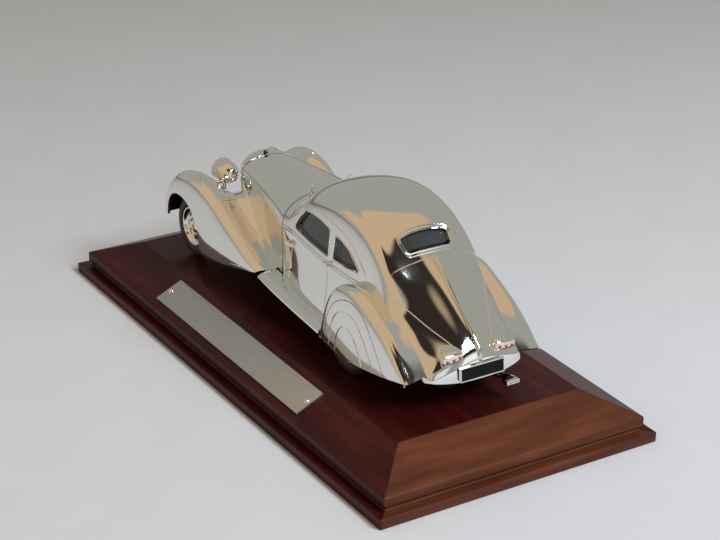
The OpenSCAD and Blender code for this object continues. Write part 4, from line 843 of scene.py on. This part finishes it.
# ---- Rear wings and spats ----
# Each wing is open over its wheel and closed by a separate spat with two steps round its middle.
rear_wing_lines = [
    [(18.8, 14, 6.3), (18.5, 16.2, 6.2), (18.4, 17.8, 6.1), (18.6, 18.9, 6.1), (18.9, 19.2, 6.1),
        (19.3, 19.3, 6.1)],
    [(19.3, 13.8, 11.5), (19.1, 16.4, 11.6), (19.1, 18, 11.6), (19.8, 19.1, 11), (21, 19.4, 9),
        (22.4, 19.4, 5.7)],
    [(21.2, 13.8, 17.5), (21, 16.5, 17.9), (21, 18, 17.9), (22, 19.1, 16.5), (23.8, 19.5, 11.5),
        (25.6, 19.5, 5.3)],
    [(25.5, 13.4, 21.4), (25.5, 16, 22.4), (25.5, 18, 22.2), (26.3, 19, 19.7), (27.7, 19.6, 12.5),
        (29, 19.6, 5.3)],
    [(32, 13.2, 21.6), (32, 15.6, 23.2), (32, 17.7, 23.4), (32.3, 19, 20.4), (32.6, 19.6, 12.5),
        (33, 19.6, 5.6)],
    [(38, 13, 19.8), (38, 15.6, 20.7), (38, 17.3, 20.9), (38.3, 18.8, 18.4), (38.6, 19.4, 12),
        (39, 19.4, 6.3)],
    [(43.5, 12.8, 17.9), (43.5, 15.2, 18), (43.7, 17.5, 18.3), (44.1, 18.8, 16), (44.5, 19.2, 11),
        (45, 19.2, 7.3)],
    [(48, 12.3, 14.9), (48.1, 15, 14.8), (48.4, 17.7, 14.8), (49, 18.8, 13), (49.4, 19, 10.5),
        (49.6, 19, 8.3)],
    [(51.5, 12, 11.9), (52, 14.8, 11.5), (52.5, 17.5, 11), (52.8, 18.5, 10), (52.8, 18.6, 9.4),
        (52.8, 18.6, 8.9)],
    [(53.8, 12, 9.8), (54.3, 14.8, 9.4), (54.6, 17, 9.2), (54.4, 18.1, 9.1), (54.2, 18.3, 9.1),
        (54, 18.4, 9.1)]]
spat_loop = [(22, 2), (21.6, 7.5), (22.6, 12.8), (25.2, 17.2), (29.4, 19.6), (34, 19.7), (38.4, 17.4),
    (42.4, 13.4), (45.6, 9.4), (47, 6), (46, 2)]
spat_mid_loop = [(24.4, 2), (23.8, 7), (24.8, 12), (27.2, 15.6), (30.6, 17), (34.4, 16.4), (38.2, 13.2),
    (41.4, 9), (43, 6), (42.6, 2)]
spat_inner_loop = [(27, 2), (26.6, 6.6), (27.4, 10.4), (29.4, 12.9), (32, 13.3), (34.8, 11.6),
    (37, 8.4), (38.2, 5.4), (38, 2)]
rear_wing_skin = panel("rear_wing_skin", rear_wing_lines, whole=False, level=4)
spat_gap = 0.08


def loop_outline(points, margin=0):
    outline = [Vector(p) for p in spline([Vector(p) for p in points], 6, closed=True)]
    return grown(outline, margin) if margin else outline


rear_wing = cast(rear_wing_skin, "rear_wing_right_casting", wing_wall)
spat = cast(rear_wing_skin, "rear_spat_right_casting", wing_wall)
cut(rear_wing, prism("opening", loop_outline(spat_loop, spat_gap), side_on(15), (0, 8*mm, 0)))
cut(spat, prism("blank", loop_outline(spat_loop, -spat_gap), side_on(15), (0, 8*mm, 0)), "INTERSECT")
for loop in (spat_mid_loop, spat_inner_loop):
    run = laid_on(rear_wing_skin, [car(u, 30, v) for u, v in loop_outline(loop) if v > 4.5], Vector((0, -1, 0)))
    cut(spat, cord_solid("scriber", run, 0.2*mm, sides=1))
settle(rear_wing, rear_wing_skin)
settle(spat, rear_wing_skin)
both_sides(rear_wing, "rear_wing")
both_sides(spat, "rear_spat")

# ---- Headlamps ----
# Plated teardrop shells on short bars, each with a clear lens and a ball nut at the bar's inner end.
lamp_r, lamp_l = 2.95, 6.6
lamp_place = (-46.8, 7.25, 21.3)
facing_ahead = Matrix.Translation(car(*lamp_place)) @ Matrix.Rotation(math.pi/2, 4, "Y")
shell_curve = [(0.985, -0.5), (1.03, -0.46), (1, -0.38), (1, -0.2), (0.985, 0), (0.93, 0.14), (0.8, 0.28), (0.56, 0.41),
    (0.28, 0.48), (0, 0.5)]
shell_run = spline([Vector((u*lamp_r*mm, v*lamp_l*mm, 0)) for u, v in shell_curve], 4)
profile = [(0, -lamp_l*mm/2 + 0.8*mm), (lamp_r*mm*0.84, -lamp_l*mm/2 + 0.5*mm)]
profile += [(max(p.x, 0), p.y) for p in shell_run]
lamp = turned("headlamp_right_shell", profile, 64)
lamp.data.transform(facing_ahead)


def ball(radius, place, name="ball"):
    """A bright ball, turned from a half circle."""
    piece = turned(name, [(radius*math.sin(t), -radius*math.cos(t)) for t in [math.pi*k/12 for k in range(13)]], 32)
    piece.data.transform(Matrix.Translation(place))
    return piece


finial = ball(0.95*mm, car(lamp_place[0] + lamp_l/2 - 0.1, lamp_place[1], lamp_place[2] - 0.4))
lamp = joined("headlamp_right_shell", [lamp, finial])
both_sides(lamp, "headlamp")

clear_glass = patterned("clear_lamp_glass", (1, 1, 0.1), 1500, 1, bump=(0.3, 0.05*mm),
    Base_Color=(0.92, 0.94, 0.95, 1), Roughness=0.04, Transmission_Weight=1, IOR=1.47)
lens_back = -lamp_l/2 + 0.78
lens = turned("lens", [(0, lens_back*mm), (lamp_r*0.8*mm, (lens_back - 0.28)*mm), (lamp_r*0.88*mm, -lamp_l/2*mm),
    (lamp_r*0.75*mm, (-lamp_l/2 - 0.25)*mm), (lamp_r*0.5*mm, (-lamp_l/2 - 0.45)*mm),
    (lamp_r*0.25*mm, (-lamp_l/2 - 0.57)*mm), (0, (-lamp_l/2 - 0.6)*mm)], 48)
lens.data.transform(facing_ahead)
lens = joined("headlamp_lens_pair", [lens, copy_of(lens, "lens", to_left)])
dress(lens, clear_glass, replaced=["headlamp_lenses"])

bar_x, bar_h = -45.4, 19.8
bar = cord_solid("lamp_bar", [car(bar_x, 9.2, bar_h), car(bar_x, 11.6, bar_h)], 0.45*mm, sides=6)
stalk = cord_solid("stalk", [car(bar_x, 8.9, 16.6), car(bar_x, 8.9, 19.4)], 0.45*mm, sides=6)
bars = joined("headlamp_bars", [bar, stalk])
only(bars)
bpy.ops.object.shade_smooth_by_angle(angle=math.radians(40))
bars = pair(bars)
in_silver(bars, "headlamp_bar")

# ---- Tail lamps ----
# A small plated pod on each side of the fin, with three red jewels in a row.
pod_place = (55.6, 7.05, 13.45)
jewel_pitch, jewel_fall, jewel_r = 1.65, 0.15, 0.42*mm
bpy.ops.object.select_all(action="DESELECT")
bpy.ops.mesh.primitive_cube_add(size=1)
pod = bpy.context.object
pod.name = "tail_pod"
# Eight corners: the flat back over the jewels, and the narrow nose that lies along the boot
pod_corners = [(dx, dy, dh) for dx, half, low, high in ((1.15, 3.3, -1.35, 1.35), (-2.9, 1.5, 0.1, 2.2))
    for dy, tilt in ((-half, jewel_fall), (half, -jewel_fall)) for dh in (low + tilt, high + tilt)]
for vertex in pod.data.vertices:
    sides = [vertex.co[k] > 0 for k in range(3)]
    dx, dy, dh = pod_corners[(0 if sides[0] else 4) + (2 if sides[1] else 0) + (1 if sides[2] else 0)]
    vertex.co = car(pod_place[0] + dx, pod_place[1] + dy, pod_place[2] + dh)
bpy.ops.object.mode_set(mode="EDIT")
bpy.ops.mesh.select_all(action="SELECT")
bpy.ops.mesh.subdivide(number_cuts=1)
bpy.ops.object.mode_set(mode="OBJECT")
work(pod, "SUBSURF", levels=3, render_levels=3)
bpy.ops.object.shade_smooth()
pods = joined("tail_lamp_pod_pair", [pod, copy_of(pod, "tail_pod", to_left)])
in_silver(pods, "tail_lamp_pods")

red_glass = patterned("red_jewel", (1, 1, 1), 2500, 1,
    [(0.3, (0.30, 0.002, 0.02)), (0.7, (0.65, 0.01, 0.06))], Roughness=0.08, Coat_Weight=1)
jewels = []
for k in (-1, 0, 1):
    for side in (-1, 1):
        jewel = turned("jewel", [(0, -0.5*mm), (jewel_r, -0.5*mm), (jewel_r, 0)] + [(jewel_r*math.cos(t),
            jewel_r*0.7*math.sin(t)) for t in [math.pi/2*i/5 for i in range(1, 6)]], 20)
        place = car(pod_place[0] + 1.1, (pod_place[1] + k*jewel_pitch)*side, pod_place[2] - k*jewel_fall - 0.1)
        jewel.data.transform(Matrix.Translation(place) @ Matrix.Rotation(math.pi/2, 4, "Y"))
        jewels.append(jewel)
jewels = joined("tail_lamp_jewel_set", jewels)
dress(jewels, red_glass, replaced=["tail_lamp_jewels"])

# ---- Glazing ----
# Smoked panes moulded to the body's curve and fitted behind each opening with a lap all round.
smoked_pane = patterned("smoked_pane", (1, 1, 1), 120, 2,
    [(0.3, (0.020, 0.023, 0.026)), (0.7, (0.035, 0.039, 0.043))], Roughness=0.12, Specular_IOR_Level=0.6)
pane_t, pane_lap, pane_gap = 0.5*mm, 0.7, 0.04*mm
pane_stock = copy_of(body_skin, "pane_stock", Matrix.Identity(4))
for vertex, source in zip(pane_stock.data.vertices, body_skin.data.vertices):
    vertex.co = source.co - source.normal*(casting_wall + pane_gap)
pane_stock.data.update()


def pane(name, outline, place, run, nodes_replaced):
    glass = cast(pane_stock, name, pane_t)
    cut(glass, prism("blank", grown(outline, pane_lap), place, run), "INTERSECT")
    settle(glass, pane_stock)
    dress(glass, smoked_pane, replaced=nodes_replaced)
    return glass


half_screen = [Vector((max(u, 0.04), v)) for u, v in grown(windscreen_pane, pane_lap)]
screen = cast(pane_stock, "windscreen_panes", pane_t)
cut(screen, prism("blank", half_screen, front_on(-14), (14.8*mm, 0, 0)), "INTERSECT")
settle(screen, pane_stock)
screen = pair(screen)
dress(screen, smoked_pane, replaced=["windscreen"])
for word, side in (("right", 1), ("left", -1)):
    run = (0, side*15*mm, 0)
    pane("door_pane_" + word, door_pane, side_on(side*8), run, ["door_glass_" + word])
    pane("quarter_pane_" + word, quarter_pane, side_on(side*8), run, ["quarter_glass_" + word])
pane("rear_pane", rear_pane, front_on(27), (17*mm, 0, 0), ["rear_glass"])
bpy.data.objects.remove(pane_stock)

# ---- Cabin ----
# Black mouldings behind the glazing: a tub, seats, the dashboard and the wheel on the left.
for node in ("interior_tub", "front_seats", "rear_seat", "dashboard", "steering_wheel"):
    refinish(node, moulded_black)

# ---- Small fittings ----
# Door handles, hinge knuckles, wipers, the number plate in its frame and the fishtail pipe.
for node in ("door_handles", "door_hinges", "wipers", "number_plate_frame", "exhaust_pipe"):
    refinish(node, bright_plating)
plate_black = patterned("matt_plate_black", (1, 1, 1), 900, 2,
    [(0.3, (0.004, 0.004, 0.0045)), (0.7, (0.007, 0.007, 0.008))], Roughness=0.5, Specular_IOR_Level=0.15)
refinish("number_plate", plate_black)

# ---- Wheels ----
# Plated pressed rims with eight round holes, domed caps with a small nut, and ribbed rubber tyres,
# pressed on plain steel axles that turn in the base plate.
half_track = 16.1*mm


def wheel_place(axle, side):
    """From a wheel drawn with its outer face up to its place on an axle."""
    low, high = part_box(axle)
    return (Matrix.Translation(((low[0] + high[0])/2, side*half_track, (low[2] + high[2])/2))
        @ Matrix.Rotation(-side*math.pi/2, 4, "X"))


rim_steps = [(0.81, -0.8), (1.7, -0.8), (1.9, 0), (3.9, -0.3), (4.4, -1.5), (5.2, -1.5), (5.2, -1.3), (5, -1.2), (4.95, 0),
    (5, 1.2), (5.2, 1.35), (5.25, 1.52), (5.1, 1.62), (4.85, 1.6), (4.7, 1.45), (4.6, 1), (4.3, 0.72), (3.9, 0.62),
    (3, 0.85), (2.3, 0.95), (2.1, 0.8), (1.8, 0.8), (0.81, 0.8)]
rim = turned("rim", [(r*mm, h*mm) for r, h in rim_steps], 72)
holes = []
for k in range(8):
    bpy.ops.object.select_all(action="DESELECT")
    bpy.ops.mesh.primitive_cylinder_add(vertices=24, radius=0.5*mm, depth=5*mm, scale=(0.85, 1.5, 1))
    bpy.ops.object.transform_apply(location=True, rotation=True, scale=True)
    hole = bpy.context.object
    hole.data.transform(Matrix.Rotation(math.tau*k/8, 4, "Z") @ Matrix.Translation((3.35*mm, 0, 0)))
    holes.append(hole)
cut(rim, joined("holes", holes))
only(rim)
bpy.ops.object.shade_smooth_by_angle(angle=math.radians(40))

wall_curve = spline([Vector((u*mm, v*mm, 0)) for u, v in [(5.22, -1.35), (5.6, -1.72), (6.4, -1.8), (7.2, -1.7),
    (7.7, -1.35)]], 4)
tread = [(7.94, -1.15), (7.98, -0.8), (7.98, -0.75), (7.78, -0.7), (7.78, -0.55), (8, -0.5), (8, -0.2), (7.8, -0.15),
    (7.8, 0)]
half = [(p.x, p.y) for p in wall_curve] + [(u*mm, v*mm) for u, v in tread]
tyre = turned("tyre", half + [(r, -h) for r, h in reversed(half[:-1])], 96)

tyre_rubber = patterned("tyre_rubber", (1, 1, 1), 1400, 4,
    [(0.3, (0.010, 0.010, 0.011)), (0.7, (0.022, 0.022, 0.023))], (0.2, 0.02*mm), Roughness=0.5)

cap_curve = [(1.9*math.cos(t), 0.75 + 0.75*math.sin(t)) for t in [math.pi/2*k/8 for k in range(7)]]
cap_profile = [(0, 0.8), (1.95, 0.8), (2.0, 0.9)] + cap_curve + [(0.62, 1.62), (0.6, 2), (0.5, 2.1), (0, 2.12)]
hub_cap = turned("hub_cap", [(r*mm, h*mm) for r, h in cap_profile], 48)
for end, axle, body_name in (("front", "front_axle", "front_wheelset"), ("rear", "rear_axle", "rear_wheelset")):
    caps = []
    for word, side in (("left", -1), ("right", 1)):
        place = wheel_place(axle, side)
        in_silver(copy_of(rim, f"{end}_{word}_rim", place), f"{end}_rim_{word}", body=body_name)
        dress(copy_of(tyre, f"{end}_{word}_tyre", place), tyre_rubber, body_name, [f"{end}_tyre_{word}"])
        caps.append(copy_of(hub_cap, "cap", place))
    in_silver(joined(end + "_hub_cap_pair", caps), end + "_hub_caps", body=body_name)
for spare in (rim, tyre, hub_cap, body_skin, bonnet_skin, radiator_skin, front_wing_skin, rear_wing_skin, board_skin,
        bpy.data.objects["apron_skin"]):
    bpy.data.objects.remove(spare)
